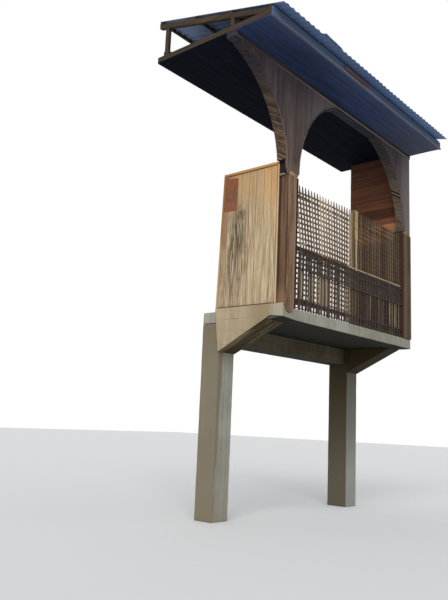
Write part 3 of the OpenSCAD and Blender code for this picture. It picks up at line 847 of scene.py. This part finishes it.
def panel_marks(m):
    """The side panel's streaks, its grey stains, its warm stretch at the top, a painted shadow line along its
    foot and a like dark band under its cap.
    """
    y, z = m.y, m.z
    broad, fine = m.streaks(30.0, 1.3), m.streaks(85.0, 2.4)
    low, left, outer = z.ramp(1.95, 1.70), y.ramp(-1.0, -0.5), m.facing(-1.0, 0.0, 0.0)
    m.add("c49a62", z.ramp(1.9, 2.3), 0.45)
    m.add("cf9f66", y.ramp(-1.0, -1.25), z.ramp(1.2, 2.2), 0.5)
    m.add("866a4a", y.ramp(-0.62, -0.42), 0.45)
    m.add("8a7353", left, low, 0.3)
    for code, amount, middle, reach in (("6f5d45", 0.85, (-0.63, 1.30), (0.21, 0.78)),
                                        ("3b3128", 0.95, (-0.64, 1.50), (0.12, 0.42)),
                                        ("54473a", 0.7, (-0.56, 1.05), (0.13, 0.48)),
                                        ("3a2c20", 0.5, (-0.715, 1.845), (0.07, 0.07))):
        stain = m.spot((panel_low.x, *middle), (0.5, *reach), 0.2)
        m.add(code, outer, stain, 0.15 + fine.ramp(0.42, 0.51) * 0.85, amount)
    m.add("937b5a", broad.ramp(0.54, 0.62), low, 0.45)
    m.add("d9c9ab", broad.ramp(0.47, 0.39), low, 0.4)
    m.add("705a40", fine.ramp(0.53, 0.59), 0.2 + outer * low * (0.25 + left * 0.40))
    m.add("ddceb2", fine.ramp(0.46, 0.40), low, 0.5)
    m.add("94663f", outer, y.within(-0.385, -0.300, 0.012), z.within(1.35, 1.93, 0.10), 0.6)
    # Painted shadow: a dark band along the foot, where the boards stand off the kerb; the same dark band
    # under the cap
    foot, head = panel_low.z + 0.020, panel_high.z - 0.016
    m.add("3d2e1e", m.g.most(z.ramp(foot + 0.004, foot - 0.004), z.ramp(head - 0.006, head + 0.006)), 0.85)


def edge_marks(m):
    """The strips on the panel's edges: brown at the wall, orange at the post with a worn rim."""
    y, z = m.y, m.z
    wall = y.ramp(-0.9, -0.8)
    m.add("8c6844", wall, 0.85)
    m.add("b9a481", wall, z.ramp(1.55, 1.25), 0.75)
    m.add("c3ad86", z.ramp(1.7, 0.8), y.ramp(-1.2, -1.3), 0.6)
    m.add("5a3c20", y.within(-1.372, -1.360, 0.002), 0.8)
    m.add("ddd3bb", y.ramp(-1.386, -1.390), 0.7)


def patch_marks(m):
    """Brighter rust at the head and the foot of the plate."""
    worn = (m.noise(11.0, 4.0) - 0.5) * 0.2
    m.add("9e4a2a", (m.z + worn).ramp(2.25, 2.42), 0.5)
    m.add("9a5632", (m.z - worn).ramp(2.10, 1.95), 0.4)


def post_marks(m):
    """The corner post: painted shade on its side, dark beside the panel and over it, and on its front right
    of the board; and the joint of its front board.
    """
    x, y, z = m.x, m.y, m.z
    side = m.facing(-1.0, 0.0, 0.0) * x.ramp(-1.90, -1.95)
    front = m.facing(0.0, -1.0, 0.0)
    fine = m.streaks(36.0, 1.6)
    joint = x + 1.925 + (m.streaks(5.0) - 0.5) * 0.03
    # Painted shade: the side darkens beside the panel, in a line near its front, and over the panel
    m.add("2a120d", side, y.ramp(-1.450, -1.415), 0.8)
    m.add("1b0f0a", side, y.within(-1.550, -1.534), 0.85)
    m.add("0f0a09", side, z.ramp(2.325, 2.335), y.ramp(-1.545, -1.535), 0.9)
    m.add("93765d", front, 0.25)
    m.add("ae9179", front, fine.ramp(0.53, 0.62), 0.45)
    m.add("3c281e", fine.ramp(0.47, 0.39), 0.4)
    m.add("9a7a60", front, joint.ramp(0.0, 0.01), 0.35)
    m.add("3a241a", front, joint.within(-0.006, 0.003, 0.003), 0.6)
    # Painted shade on the post's front right of its board, under the spandrel foot
    behind = x.ramp(board_right_x, board_right_x + 0.006) * x.ramp(-1.70, -1.72)
    m.add("251812", behind, z.ramp(2.33, 2.32), 0.8)
    m.add("a5825c", side, z.ramp(0.75, 0.35), 0.45)
    m.add("b8a48e", m.spot((-1.955, slab_low.y - 0.02, 2.350), (0.05, 0.2, 0.04), 0.3), 0.7)


def lattice_marks(m):
    """Darker to the right of the pole, two bright laths beside it, and a red-brown stretch further left."""
    x, z = m.x, m.z
    m.add("3e2f22", x.ramp(0.0, 0.1), 0.8)
    m.add("6a4a36", x.within(-0.92, -0.33, 0.06), z.ramp(2.05, 1.85), 0.55)
    m.add("4a3828", x.within(-0.78, -0.30, 0.08), z.within(1.22, 1.52, 0.08), 0.45)
    m.add("c0aa86", x.within(-0.17, -0.055, 0.006), 0.5)


def pole_marks(m):
    """Wire wound round the pole, browner to the left of it, and a greyer lower length."""
    m.add("8a6e40", m.x.ramp(0.062, 0.032), m.z.ramp(1.80, 1.84), 0.5)
    m.add("b09a82", m.z.ramp(1.83, 1.81), 0.7)
    tilt = m.z + (m.x - 0.07) * 0.4
    for turn in (1.995, 2.150, 2.235):
        m.add("4a3820", tilt.within(turn - 0.007, turn + 0.007), 0.7)


def rib_marks(m):
    """The right jamb is dark red-brown."""
    m.add("4a2c26", m.z.ramp(spring_z, spring_z - 0.05), m.x.ramp(1.0, 1.5), 0.8)


def spandrel_marks(m):
    """Painted shade: greyer and bluer with height, towards the eave. Painted light: paler at the two ends
    that catch the light. Also paler on a stretch right of the middle.
    """
    x, z = m.x, m.z
    # Painted shade: greyer and bluer towards the eave
    m.add("45434d", z.ramp(2.7, 3.9), 0.45)
    m.add("7a7276", m.g.most(x.ramp(-1.75, -1.1) * x.ramp(-0.3, -0.4), x.ramp(1.6, 1.9)), 0.6)
    m.add("7a7276", x.within(0.15, 0.75, 0.15), 0.45)
    m.add("7d6a58", z.ramp(2.62, 2.40), 0.4)


def moulding_marks(m):
    """A light line along the moulding's foot, which fades towards the left."""
    line_z = post_high.z + 0.020
    m.add("8a7a70", m.z.ramp(line_z + 0.003, line_z - 0.003), 0.15 + m.x.ramp(-3.0, -0.9) * 0.65)


def soffit_painted_shade(m):
    """Painted shade: darker with height, towards the ceiling."""
    m.add("2b2a31", m.z.ramp(2.9, 3.85), 0.9)


def eave_painted_shade_and_light(m):
    """Painted shade and light: darker at the far left, greyer and lighter towards the right, and a little
    paler at the outer edge.
    """
    m.add("141c30", m.x.ramp(-1.2, -2.2), 0.3)
    m.add("505260", m.x.ramp(-0.2, 1.8), 0.7)
    m.add("47546f", m.y.ramp(-1.95, -2.15), 0.3)


def slab_marks(m):
    """Painted shade on the underside, drips on the front, and a dark side where the render has come off."""
    # Painted shade on the underside
    painted_underside_shade("1d1b14")(m)
    m.add("7b7768", m.stretched((11.0, 0.0, 1.2)).ramp(0.50, 0.72), m.y.ramp(-1.5, -1.53), 0.4)
    m.add("3a352a", m.facing(-1.0, 0.0, 0.0), m.x.ramp(-2.060, -2.065), m.y.ramp(-1.22, -1.24), 0.8)


def column_marks(m):
    """Splashed feet, tan render on the left column's outer side, and an olive right column with painted
    shade, darker towards its top and on its inner side.
    """
    x, z, g = m.x, m.z, m.g
    height = (z - ground_z) / (slab_low.z - ground_z)
    left, right = x.ramp(-1.0, -1.2), x.ramp(1.0, 1.2)
    splash = (m.noise(6.0, 4.0) - 0.5) * 0.5
    m.add("7c7468", (z - splash).ramp(ground_z + 0.55, ground_z + 0.05), 0.6)
    coat = slab_low.x + 0.02 + height * 0.13 + (m.streaks(9.0, 2.0) - 0.5) * 0.10 - x
    m.add("6b6050", coat.ramp(-0.012, 0.012), 0.85)
    m.add("94896f", left, 0.3)
    m.add("75674f", z.ramp(-0.7, 0.1), left, 0.6)
    # Painted shade: the right column darkens towards the top, and more so on its inner side
    grey = g.blend(height.ramp(0.15, 0.60), "8f918b", "67665a")
    m.add(g.blend(height.ramp(0.60, 0.98), grey, "5a523b"), right, 0.85)
    m.add(g.blend(height.ramp(0.1, 0.9), "534c39", "3c2f1b"), m.facing(-1.0, 0.0, 0.0), right, 0.9)


def haunch_marks(m):
    """Light streaks down the left soffit; the right haunch has the painted shade of its column, on its inner
    side and on the faces that look down.
    """
    right = m.x.ramp(1.0, 1.2)
    m.add("75674c", m.stretched((19.0, 1.1, 0.0), 4.0, 0.6).ramp(0.48, 0.60), m.x.ramp(-1.0, -1.2), 0.8)
    # Painted shade on the right haunch's inner side and on its faces that look down
    m.add("3c2f1b", m.facing(-1.0, 0.0, 0.0), right, 0.9)
    m.add("332d1d", m.facing(0.0, -0.4, -0.9), right, 0.8)


def block_courses(m):
    """Block joints that show through the thin render, its stains and its rough front end."""
    y, g = m.y, m.g
    course, block_l = m.z / 0.195, 0.40
    shift = g.math("FLOOR", course) % 2.0 * (block_l / 2)
    bed = abs(g.math("FRACT", course) - 0.5).ramp(0.455, 0.49)
    joint = abs(g.math("FRACT", (y + shift) / block_l) - 0.5).ramp(0.475, 0.495)
    m.add("6d5d43", g.most(bed, joint), m.noise(5.0, 3.0).ramp(0.35, 0.60), 0.5)
    m.add("85765a", m.streaks(8.0, 0.9).ramp(0.50, 0.75), 0.5)
    m.add("6a5840", m.streaks(24.0, 3.0).ramp(0.60, 0.72), 0.5)
    m.add("8f7e62", y.ramp(-0.70, -1.10), 0.8)
    m.add("bdbbae", (y - (m.noise(12.0, 4.0) - 0.5) * 0.20).ramp(-1.25, -1.41), 0.4)
    # Painted shade on the faces that look down
    painted_underside_shade("4b4336")(m)


def side_wall_marks(m):
    """Dark red-brown boards over orange-brown ones, and near black below the lattice's top: painted shade
    behind the lattice.
    """
    m.add("3c2119", (m.z + (m.noise(1.5, 2.0) - 0.5) * 0.2).ramp(2.68, 2.76), 0.7)
    # Painted shade: near black below the lattice's top
    m.add("20140d", m.z.ramp(2.32, 2.20), 0.8)


# Woods: dark, light and grey tone, the grain's axis, and what else is not as usual
WOODS = {
    "post": ("4e3527", "826449", "746250", "z", {"board": 0.2, "marks": post_marks}),
    "right_post": ("3a2f22", "67553f", "625a4d", None, {"board": 0.3, "wear": 0.4, "joint": 0.05}),
    "spandrel": ("33272a", "6a5750", "6a5f5a", None, {"board": 0.15, "wear": 0.4, "marks": spandrel_marks}),
    "moulding": ("241f22", "3f383a", "433e42", "x", {"marks": moulding_marks}),
    # band: dark blue-grey, painted shade under the ceiling, darker still on its underside
    "band": ("22242b", "4a4b54", "4a4c55", "x", {"marks": painted_underside_shade("161b28")}),
    "trim": ("574b45", "84746a", "7a6e67", None, {"board": 0.1, "marks": soffit_painted_shade}),
    # rib: near black, painted shade
    "rib": ("1c1410", "33261d", "352b23", "y", {"marks": rib_marks}),
    "soffit": ("463727", "866f58", "786957", None, {"marks": soffit_painted_shade}),
    "dark_soffit": ("5b4f43", "887a6c", "7f7367", None, {"board": 0.2, "marks": soffit_painted_shade}),
    "lattice": ("5a4733", "bba684", "a59479", None,
                {"board": 0.42, "wear": 0.35, "crack": 0.5, "marks": lattice_marks}),
    "slat": ("6f5f4c", "cbb9a0", "a89c8c", None, {"board": 0.45, "crack": 0.3}),
    "pole": ("8f7040", "d2b57c", "a9926b", "z", {"wear": 0.2, "crack": 0.3, "marks": pole_marks}),
    "panel": ("a08763", "cdb592", "bdac92", None,
              {"board": 0.12, "wear": 0.35, "crack": 0.4, "joint": 0.036, "marks": panel_marks}),
    "cap": ("a87a40", "d8a465", "bd9a68", "y", {"wear": 0.25}),
    "edge": ("b07638", "dfab68", "c9a070", "z", {"wear": 0.2, "marks": edge_marks}),
    # beam: dark blue-grey, painted shade under the ceiling
    "beam": ("1a1d27", "343742", "363a45", "x", {}),
    "wall": ("6e4029", "ba7a54", "7f6250", None, {"board": 0.4, "wear": 0.25, "marks": side_wall_marks}),
    "outer": ("4a3a2c", "7f6b52", "7b7264", None, {"board": 0.4, "wear": 0.45}),
    # eave, ceiling and fascia: painted shade under the roof with a painted blue cast of skylight; the ceiling
    # is near black
    "eave": ("1d2a47", "30436d", "33446b", None, {"board": 0.08, "crack": 0.15, "marks": eave_painted_shade_and_light}),
    "ceiling": ("080a12", "101522", "121724", None, {"board": 0.15, "crack": 0.2, "gloss": 0.05}),
    "fascia": ("43546f", "566a8a", "576a84", "x", {"crack": 0.15}),
    "strip": ("625b63", "85797f", "777075", "x", {"crack": 0.2}),
    "loose": ("4f3a33", "806558", "7a6b63", "x", {}),
}
wood = {name: timber(name + "_wood", *tones, **more) for name, (*tones, more) in WOODS.items()}
# The roof's timbers are painted darker than the rough wood: painted shade under the roof
for axis in "xyz":
    wood["rough_" + axis] = timber("rough_wood_" + axis, "4a3a2a", "7d664a", "6f6558", axis)
    wood["roof_" + axis] = timber("shaded_roof_wood_" + axis, "2e241b", "4f3f30", "4a4036", axis)

pale_concrete = concrete("pale_concrete", "9f9d92", "858272", "b6b3a6", marks=slab_marks)
column_concrete = concrete("column_concrete", "9d9f99", "85867e", "b8bab5", "x", column_marks)
# The back beam and the haunches are painted far darker than the slab and columns: painted shade under the
# slab
beam_concrete = concrete("beam_concrete", "5a5443", "423c2f", "6e6750", "z", painted_underside_shade("2a261c"))
haunch_concrete = concrete("haunch_concrete", "3b3120", "2e2515", "4c412e", "x", haunch_marks)
block_render = concrete("block_render", "b5a386", "9f8e72", "c4b79c", marks=block_courses)
iron = rusty_iron("iron", "2d231c", "49382c", 0.5, "5d4c40", 0.15)
bracket_iron = rusty_iron("bracket_iron", "a39a8a", "ab9d88", 0.3)
nail_iron = rusty_iron("nail_iron", "2a2422", "5a3a28", 0.8)
patch_iron = rusty_iron("patch_iron", "744a31", "8a5a38", 0.6, "7a6450", marks=patch_marks)
sheet_iron = material_of("sheet_iron", sheet_metal)


# Concrete frame

def broken_edge(co, low, high):
    """Lifts the slab's lower front corner at its left end, where it has broken off."""
    length, depth, fade, most = 0.35, 0.05, 0.2, 0.022
    near = max(0.0, 1.0 - (co.x - low.x) / length)
    front = min(max((low.y + depth + fade - co.y) / fade, 0.0), 1.0)
    lift = most * near * front * (high.z - co.z) / (high.z - low.z)
    return Vector((co.x, co.y, co.z + lift))


def broken_coat(co):
    """Lifts the lower front edge of the render, more so at the point of the haunch."""
    foot = abs(co.z - slab_low.z) < 0.001
    at_haunch = co.y >= slab_low.y + 0.1
    return co + Vector((0.0, 0.0, foot * (0.050 if at_haunch else 0.022)))


for node in ("left_column", "right_column"):
    worn_block(node + "_cast", node, column_concrete, "pale_concrete", radius=0.010, uneven=0.004)
worn_block("back_beam_cast", "back_beam", beam_concrete, "dark_concrete", radius=0.008, uneven=0.003)
worn_block("floor_slab_cast", "floor_slab", pale_concrete, "pale_concrete", radius=0.012, chip=1.0,
           uneven=0.004, reshape=broken_edge)
keep_nodes(haunch_concrete, 0.008, "left_haunch", "right_haunch")
node_copy("side_render_coat", "side_render", block_render, "block_render", broken_coat, 0.006)
worn_block("side_kerb_block", "side_kerb", block_render, "block_render", uneven=0.003, cell=0.06)


# Posts, top beam, spandrels and arches

def rotted_foot(co, low, high):
    """Draws the foot of the corner post's board in to a ragged, narrower end."""
    reach, ragged, rounding, taper, inward = 0.16, 0.012, 0.6, 0.30, 0.006
    part = max(0.0, (low.z + reach - co.z) / reach)
    middle = (low.x + high.x) / 2
    bite = noise.noise(Vector((co.x * 23.0, 0.0, 4.2)))
    narrow = 1.0 - taper * part ** 2
    z = co.z + part ** 2 * (ragged * (1.0 + bite) + rounding * abs(co.x - middle) ** 1.5)
    return Vector((middle + (co.x - middle) * narrow, co.y + inward * part, min(z, high.z)))


def post(node, finish, slot):
    """A post in two lengths, of which the upper one stands back behind the spandrels' boards."""
    low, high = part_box(node)
    step_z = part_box("spandrel_feet")[0].z
    inset = Vector((0.001, 0.0, 0.0))
    worn_block(node + "_beam", node, finish, slot, uneven=0.003, box=(low, Vector((high.x, high.y, step_z))))
    worn_block(node + "_head", None, finish, slot, uneven=0.003,
               box=(Vector((low.x, face_high.y, step_z - 0.03)) + inset, high - inset))


def tapered_foot(name, x0, x1, foot_x0, foot_x1, replaces=()):
    """The block at the foot of a spandrel, drawn in to the width of the post board under it."""
    low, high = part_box("spandrel_feet")
    form = block_form(Vector((x0, low.y, low.z)), Vector((x1, high.y, high.z)), 0.004, 0.03)
    for vert in form.verts:
        down = (high.z - vert.co.z) / (high.z - low.z)
        foot_x = foot_x0 + (foot_x1 - foot_x0) * (vert.co.x - x0) / (x1 - x0)
        vert.co.x += (foot_x - vert.co.x) * down
    settle(mesh_piece(name, form, wood["post"]), "post_timber", replaces, bevel=0.004)


post("corner_post", wood["post"], "post_timber")
worn_block("corner_post_front", "corner_post_board", wood["post"], "post_timber", uneven=0.003, cell=0.03,
           reshape=rotted_foot)
post("right_post", wood["rough_z"], "grey_timber")
boards("right_post_front", "right_post_board", "x", "-y", wood["right_post"], "grey_timber",
       boards=2, variation=0.1, gap=0.005, slip=0.008, ragged=0.012, seed=3)
worn_block("top_beam_timber", "top_beam", wood["beam"], "spandrel_timber", radius=0.005, cell=0.2)
for node, count, seed in (("middle_spandrel", 25, 11), ("right_spandrel", 13, 17)):
    boards(node + "_boards", node, "x", "-y", wood["spandrel"], "spandrel_timber",
           boards=count, variation=0.25, slip=0.007, wave=0.002, seed=seed, cut_jamb=cut_arch_x,
           left_jamb=arch_left_x, right_jamb=arch_right_x, run=arch_run - 0.001, radius=arch_r)
keep_nodes(wood["band"], 0.010, "head_boards")
keep_nodes(wood["moulding"], 0.006, "head_moulding")
tapered_foot("corner_spandrel_foot", cut_arch_x, arch_left_x, post_low.x - 0.02, board_right_x + 0.04,
             ["spandrel_feet"])
tapered_foot("right_spandrel_foot", arch_right_x, right_high.x, bay_right_x, right_high.x)

# The small flat bar that ties the panel to the corner post
bracket = block_form(Vector((post_low.x - 0.045, -1.50, 2.318)), Vector((post_low.x + 0.004, -1.40, 2.330)),
                     0.002, 0.03)
settle(mesh_piece("post_bracket", bracket, bracket_iron), "wrought_iron")

keep_nodes(wood["rib"], 0.003, "cut_arch_rib", "left_arch_rib", "right_arch_rib")
cut_arch_start = arch_r * math.asin((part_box("cut_arch_rib")[0].z - spring_z) / arch_r)
arch_dressing("cut_arch", cut_arch_x, -1.0, cut_arch_start, wood["soffit"], 21)
arch_dressing("left_arch", arch_left_x, 1.0, 0.0, wood["soffit"], 23)
arch_dressing("right_arch", arch_right_x, -1.0, 0.0, wood["dark_soffit"], 29)


# Lattice and balustrade

def behind_row(co):
    """Draws the top rail in behind the row of cross laths in front of it."""
    rail_foot, rail_top = 2.099, 2.131
    if co.z < 2.0:
        return co
    return Vector((co.x, co.y, rail_top if co.z > 2.09 else rail_foot))


def leaning_pole():
    """A pale pole before the lattice: broad at the top, and thin and leaning under its splice."""
    front, back = -1.499, -1.488
    # Height, middle and half the width
    places = ((2.33, 0.068, 0.048), (2.05, 0.070, 0.048), (1.84, 0.074, 0.046), (1.80, 0.080, 0.024),
              (1.55, 0.080, 0.022), (1.27, 0.088, 0.018))
    form = bmesh.new()
    rings = []
    for z, x, half in places:
        corners = ((x - half, front), (x + half, front), (x + half, back), (x - half, back))
        rings.append([form.verts.new((*corner, z)) for corner in corners])
    for upper, lower in zip(rings, rings[1:]):
        for i in range(4):
            form.faces.new((upper[i], upper[(i + 1) % 4], lower[(i + 1) % 4], lower[i]))
    form.faces.new(rings[0])
    form.faces.new(rings[-1])
    bmesh.ops.recalc_face_normals(form, faces=form.faces)
    settle(mesh_piece("leaning_pole", form, wood["pole"]), "pole_timber", bevel=0.003)


def straight_pieces(name, spans):
    """Pale straight strips: the middles of their two ends, width, depth along Y, and shade."""
    form = bmesh.new()
    shades = form.verts.layers.float.new("shade")
    grains = form.verts.layers.float_vector.new("grain")
    for start, end, width, depth, shade in spans:
        start, end = Vector(start), Vector(end)
        ahead, out = (end - start).normalized(), Vector((0.0, -1.0, 0.0))
        turn = Matrix((out.cross(ahead), out, ahead)).transposed().to_4x4()
        place = Matrix.Translation((start + end) / 2) @ turn
        size = Matrix.Diagonal((width, depth, (end - start).length, 1.0))
        for vert in bmesh.ops.create_cube(form, size=1.0, matrix=place @ size)["verts"]:
            vert[shades] = shade
            vert[grains] = Vector((ahead.dot(vert.co), out.cross(ahead).dot(vert.co), vert.co.y))
    settle(mesh_piece(name, form, wood["slat"]), "lattice_timber", bevel=0.001)


lattice("lattice_left", arch_left_x, pole_low.x, (2.270, 2.312), (2.148, 2.182), 0.026, 0.17, 31)
lattice("lattice_right", pole_high.x, bay_right_x, (2.336, 2.336), (2.280, 2.280), 0.0, 0.0, 37)
node_copy("lattice_rail_bars", "lattice_rails", wood["rough_x"], "lattice_timber", behind_row, 0.004)
worn_block("lattice_middle", "lattice_upright", wood["rough_z"], "lattice_timber", radius=0.005,
           uneven=0.001)
leaning_pole()
balustrade = grown("balustrade_iron", iron_shape, material=iron, left=arch_left_x, right=bay_right_x,
                   foot=iron_low.z + 0.020, top=iron_high.z, floor=slab_high.z,
                   line=(iron_low.y + iron_high.y) / 2, bars=33, bar=0.013, rail=0.012, rail_width=0.022,
                   handrail=0.022, ring_zone=0.078, scroll_zone=0.215, foot_zone=0.125, strip=0.009,
                   gauge=0.006, stand_step=8, rise=0.024)
settle(balustrade, "wrought_iron", ["iron_balustrade"])

# The pale slats behind the scrolls of the balustrade: x, and how bright each is
slat_places = (
    (-1.655, 0.5), (-1.555, 0.6), (-1.445, 0.5), (-1.335, 0.55), (-1.245, 0.6), (-1.145, 1.0),
    (-1.045, 0.6), (-0.945, 0.55), (-0.865, 0.5), (-0.675, 0.9), (-0.495, 0.6), (-0.395, 1.0),
    (-0.295, 0.6), (-0.175, 0.55), (0.575, 0.3), (0.865, 0.3), (1.055, 0.35), (1.295, 0.4),
    (1.385, 0.45), (1.495, 0.8), (1.575, 0.9), (1.675, 0.5),
)
slat_y = -1.494
straight_pieces("pale_slats", [((x, slat_y, 0.50 + 0.02 * math.sin(x * 40)), (x + 0.004, slat_y, 0.97),
                                0.034, 0.008, bright) for x, bright in slat_places])
straight_pieces("rail_batten", [((-0.15, slat_y, 1.298), (bay_right_x - 0.02, slat_y, 1.302),
                                 0.018, 0.008, 0.6)])
straight_pieces("loose_stick", [((arch_left_x + 0.01, -1.506, 1.292), (-1.375, -1.500, 1.410),
                                 0.012, 0.014, 0.8)])


# Side panel

def leaning_edge(co):
    """Cuts the panel's boards off along its back edge, which leans."""
    part = (co.z - panel_low.z) / (panel_high.z - panel_low.z)
    return Vector((co.x, min(co.y, panel_high.y + (panel_top_y - panel_high.y) * part), co.z))


def thin_sheet(name, corners, counts, bend, material, thickness, slot, replaces=()):
    """A sheet between two edges of two corners each. bend moves the place at a share across the edges and
    a share along the way from the first to the second."""
    (left, right), (far_left, far_right) = corners
    rows, columns = counts

    def place(across, along):
        spot = left.lerp(right, across).lerp(far_left.lerp(far_right, across), along)
        return bend(spot, across, along)

    places = [[place(j / columns, i / rows) for j in range(columns + 1)] for i in range(rows + 1)]
    form = bmesh.new()
    add_grid(form, places)
    bmesh.ops.recalc_face_normals(form, faces=form.faces)
    piece = mesh_piece(name, form, material)
    thicken(piece, thickness)
    settle(piece, slot, replaces)


def dented(spot, across, along):
    """Stands off the boards by an uneven amount."""
    spot.x -= 0.002 * (1 + noise.noise(Vector((spot.y * 9.0, spot.z * 7.0, 1.0))))
    return spot


panel_top_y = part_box("panel_cap")[1].y
boards("side_panel_boards", "panel_boards", "y", "-x", wood["panel"], "panel_timber", leaning_edge,
       boards=8, variation=0.10, gap=0.0, ragged=0.004, seed=41)
keep_nodes(wood["cap"], 0.005, "panel_cap")
keep_nodes(wood["edge"], 0.003, "panel_edges")
keep_nodes(wood["rough_y"], 0.003, "panel_rails")
nail_x, columns, rows = panel_low.x - 0.001, 16, 3
nails = grown("panel_nails", heads_shape, material=nail_iron, radius=0.004, height=0.002, stray=0.004,
              seed=1, columns=columns, rows=rows, turn=(0.0, math.pi / 2, 0.0),
              origin=(nail_x, panel_low.y + 0.035, panel_low.z + 0.045),
              across=(0.0, (panel_high.y - panel_low.y - 0.07) / (columns - 1), 0.0),
              along=(0.0, 0.0, (panel_high.z - panel_low.z - 0.09) / (rows - 1)))
settle(nails, "wrought_iron")

# A rusty plate nailed over the panel's upper corner
patch_foot = Vector((nail_x, -0.597, 1.916)), Vector((nail_x, -0.327, 1.923))
patch_head = Vector((nail_x, -0.604, 2.438)), Vector((nail_x, -0.355, 2.478))
thin_sheet("rust_patch", (patch_foot, patch_head), (8, 4), dented, patch_iron, 0.001, "wrought_iron")

# Right side wall, ceiling and eave. The numbers: boards, how unlike their widths are, how far they stand
# back, and seed
for name, node, across, out, finish, slot, count, uneven, slip, seed in (
        ("side_wall_inner_boards", "side_wall_inside", "z", "-x", "wall", "red_boards", 22, 0.2, 0.005, 47),
        ("side_wall_outer_boards", "side_wall_outside", "z", "x", "outer", "red_boards", 20, 0.15, 0.006, 53),
        ("ceiling_planks", "ceiling_boards", "y", "-z", "ceiling", "eave_timber", 11, 0.15, 0.004, 59),
        ("eave_planks", "eave_boards", "y", "-z", "eave", "eave_timber", 5, 0.15, 0.004, 61)):
    boards(name, node, across, out, wood[finish], slot, boards=count, variation=uneven, slip=slip, seed=seed)
keep_nodes(wood["rough_z"], 0.003, "side_wall_frame")


# Roof

def curled(spot, across, along):
    """Sags between the ribs, and curls down at the front left corner."""
    dip, droop = 0.004, 0.010
    sag = dip * noise.noise(spot * 5.0) - dip
    curl = droop * max(0.0, 1 - along * 3) * (1 - across)
    return spot + Vector((0.0, 0.0, sag - curl))


def top_corners(node):
    """The corners of a plate's upper face: the front two and the back two, each from the left."""
    form = node_form(node)
    bmesh.ops.dissolve_limit(form, angle_limit=0.01, verts=form.verts, edges=form.edges)
    top = max(form.faces, key=lambda face: face.normal.z * face.calc_area())
    corners = sorted((vert.co.copy() for vert in top.verts), key=lambda co: (co.y, co.x))
    form.free()
    return [sorted(pair, key=lambda co: co.x) for pair in (corners[:2], corners[2:])]


keep_nodes(wood["roof_y"], 0.003, "ceiling_joists", "rafters")
keep_nodes(wood["roof_z"], 0.003, "roof_struts")
keep_nodes(wood["roof_x"], 0.003, "wall_plate", "roof_battens")
keep_nodes(wood["fascia"], 0.003, "fascia")
keep_nodes(wood["strip"], 0.004, "fascia_strip")
keep_nodes(wood["loose"], 0.004, "loose_fascia_board")
roof_pitch = math.radians(14)
sheet_t = 0.0015
roof = grown("roof_sheet_metal", sheets_shape, material=sheet_iron, left=sheets_low.x, right=sheets_high.x,
             eave=sheets_low.y, level=sheets_low.z, run=-0.001 - sheets_low.y, slope=math.tan(roof_pitch),
             pitch=0.125, rib=0.024, sheet_ribs=11.0, slip=0.010)
thicken(roof, sheet_t, 0.0)
settle(roof, "roof_metal", ["roof_sheets"])
thin_sheet("loose_sheet_metal", top_corners("loose_roof_sheet"), (12, 10), curled, sheet_iron, sheet_t,
           "roof_metal", ["loose_roof_sheet"])


# Camera, light and stage

def photo_camera():
    """The camera of the photograph, found from its vanishing points."""
    yaw, pitch, roll = math.radians(49.47), math.radians(10.2655), math.radians(-2.4529)
    place = Vector((-9.940, -7.140, -1.371))
    focal_px, height_px, sensor = 682, 600, 36
    ahead = Vector((math.sin(yaw) * math.cos(pitch), math.cos(yaw) * math.cos(pitch), math.sin(pitch)))
    level = Vector((math.cos(yaw), -math.sin(yaw), 0.0))
    down = ahead.cross(level)
    right = math.cos(roll) * level + math.sin(roll) * down
    below = math.cos(roll) * down - math.sin(roll) * level
    data = bpy.data.cameras.new("camera")
    data.sensor_width = sensor
    data.lens = focal_px / height_px * sensor
    camera = bpy.data.objects.new("camera", data)
    camera.matrix_world = Matrix.Translation(place) @ Matrix((right, -below, -ahead)).transposed().to_4x4()
    scene.collection.objects.link(camera)
    scene.camera = camera


def sun():
    data = bpy.data.lights.new("sun", "SUN")
    data.energy = 1.9
    data.angle = math.radians(45)
    light = bpy.data.objects.new("sun", data)
    light.rotation_mode = "QUATERNION"
    light.rotation_quaternion = Vector((0.75, 0.50, -0.55)).to_track_quat("-Z", "Y")
    scene.collection.objects.link(light)


def sky():
    """Even grey light, and a white background where the camera or a reflection looks past the object."""
    world = bpy.data.worlds.new("sky")
    world.use_nodes = True
    world.node_tree.nodes.clear()
    g = Graph(world.node_tree)
    rays = g.node("ShaderNodeLightPath", out=("Is Camera Ray", "Is Glossy Ray", "Is Transmission Ray"))
    seen = g.most(g.most(rays[0], rays[1]), rays[2])
    light = g.node("ShaderNodeBackground", {"Color": (0.93, 0.96, 1.0, 1.0), "Strength": 0.55})
    white = g.node("ShaderNodeBackground", {"Color": (1.0, 1.0, 1.0, 1.0), "Strength": 1.0})
    mixed = g.node("ShaderNodeMixShader", {0: seen, 1: light, 2: white})
    last = world.node_tree.nodes.new("ShaderNodeOutputWorld")
    world.node_tree.links.new(mixed.socket, last.inputs["Surface"])
    scene.world = world


def floor():
    form = bmesh.new()
    bmesh.ops.create_grid(form, x_segments=1, y_segments=1, size=60)
    bmesh.ops.translate(form, verts=form.verts, vec=(0, 0, ground_z - 0.002))
    material = material_of("pale_floor", lambda g: {"Base Color": (0.80, 0.80, 0.79, 1.0), "Roughness": 0.9})
    mesh_piece("pale_floor", form, material)


photo_camera()
sun()
sky()
floor()

scene.view_settings.view_transform = "Standard"
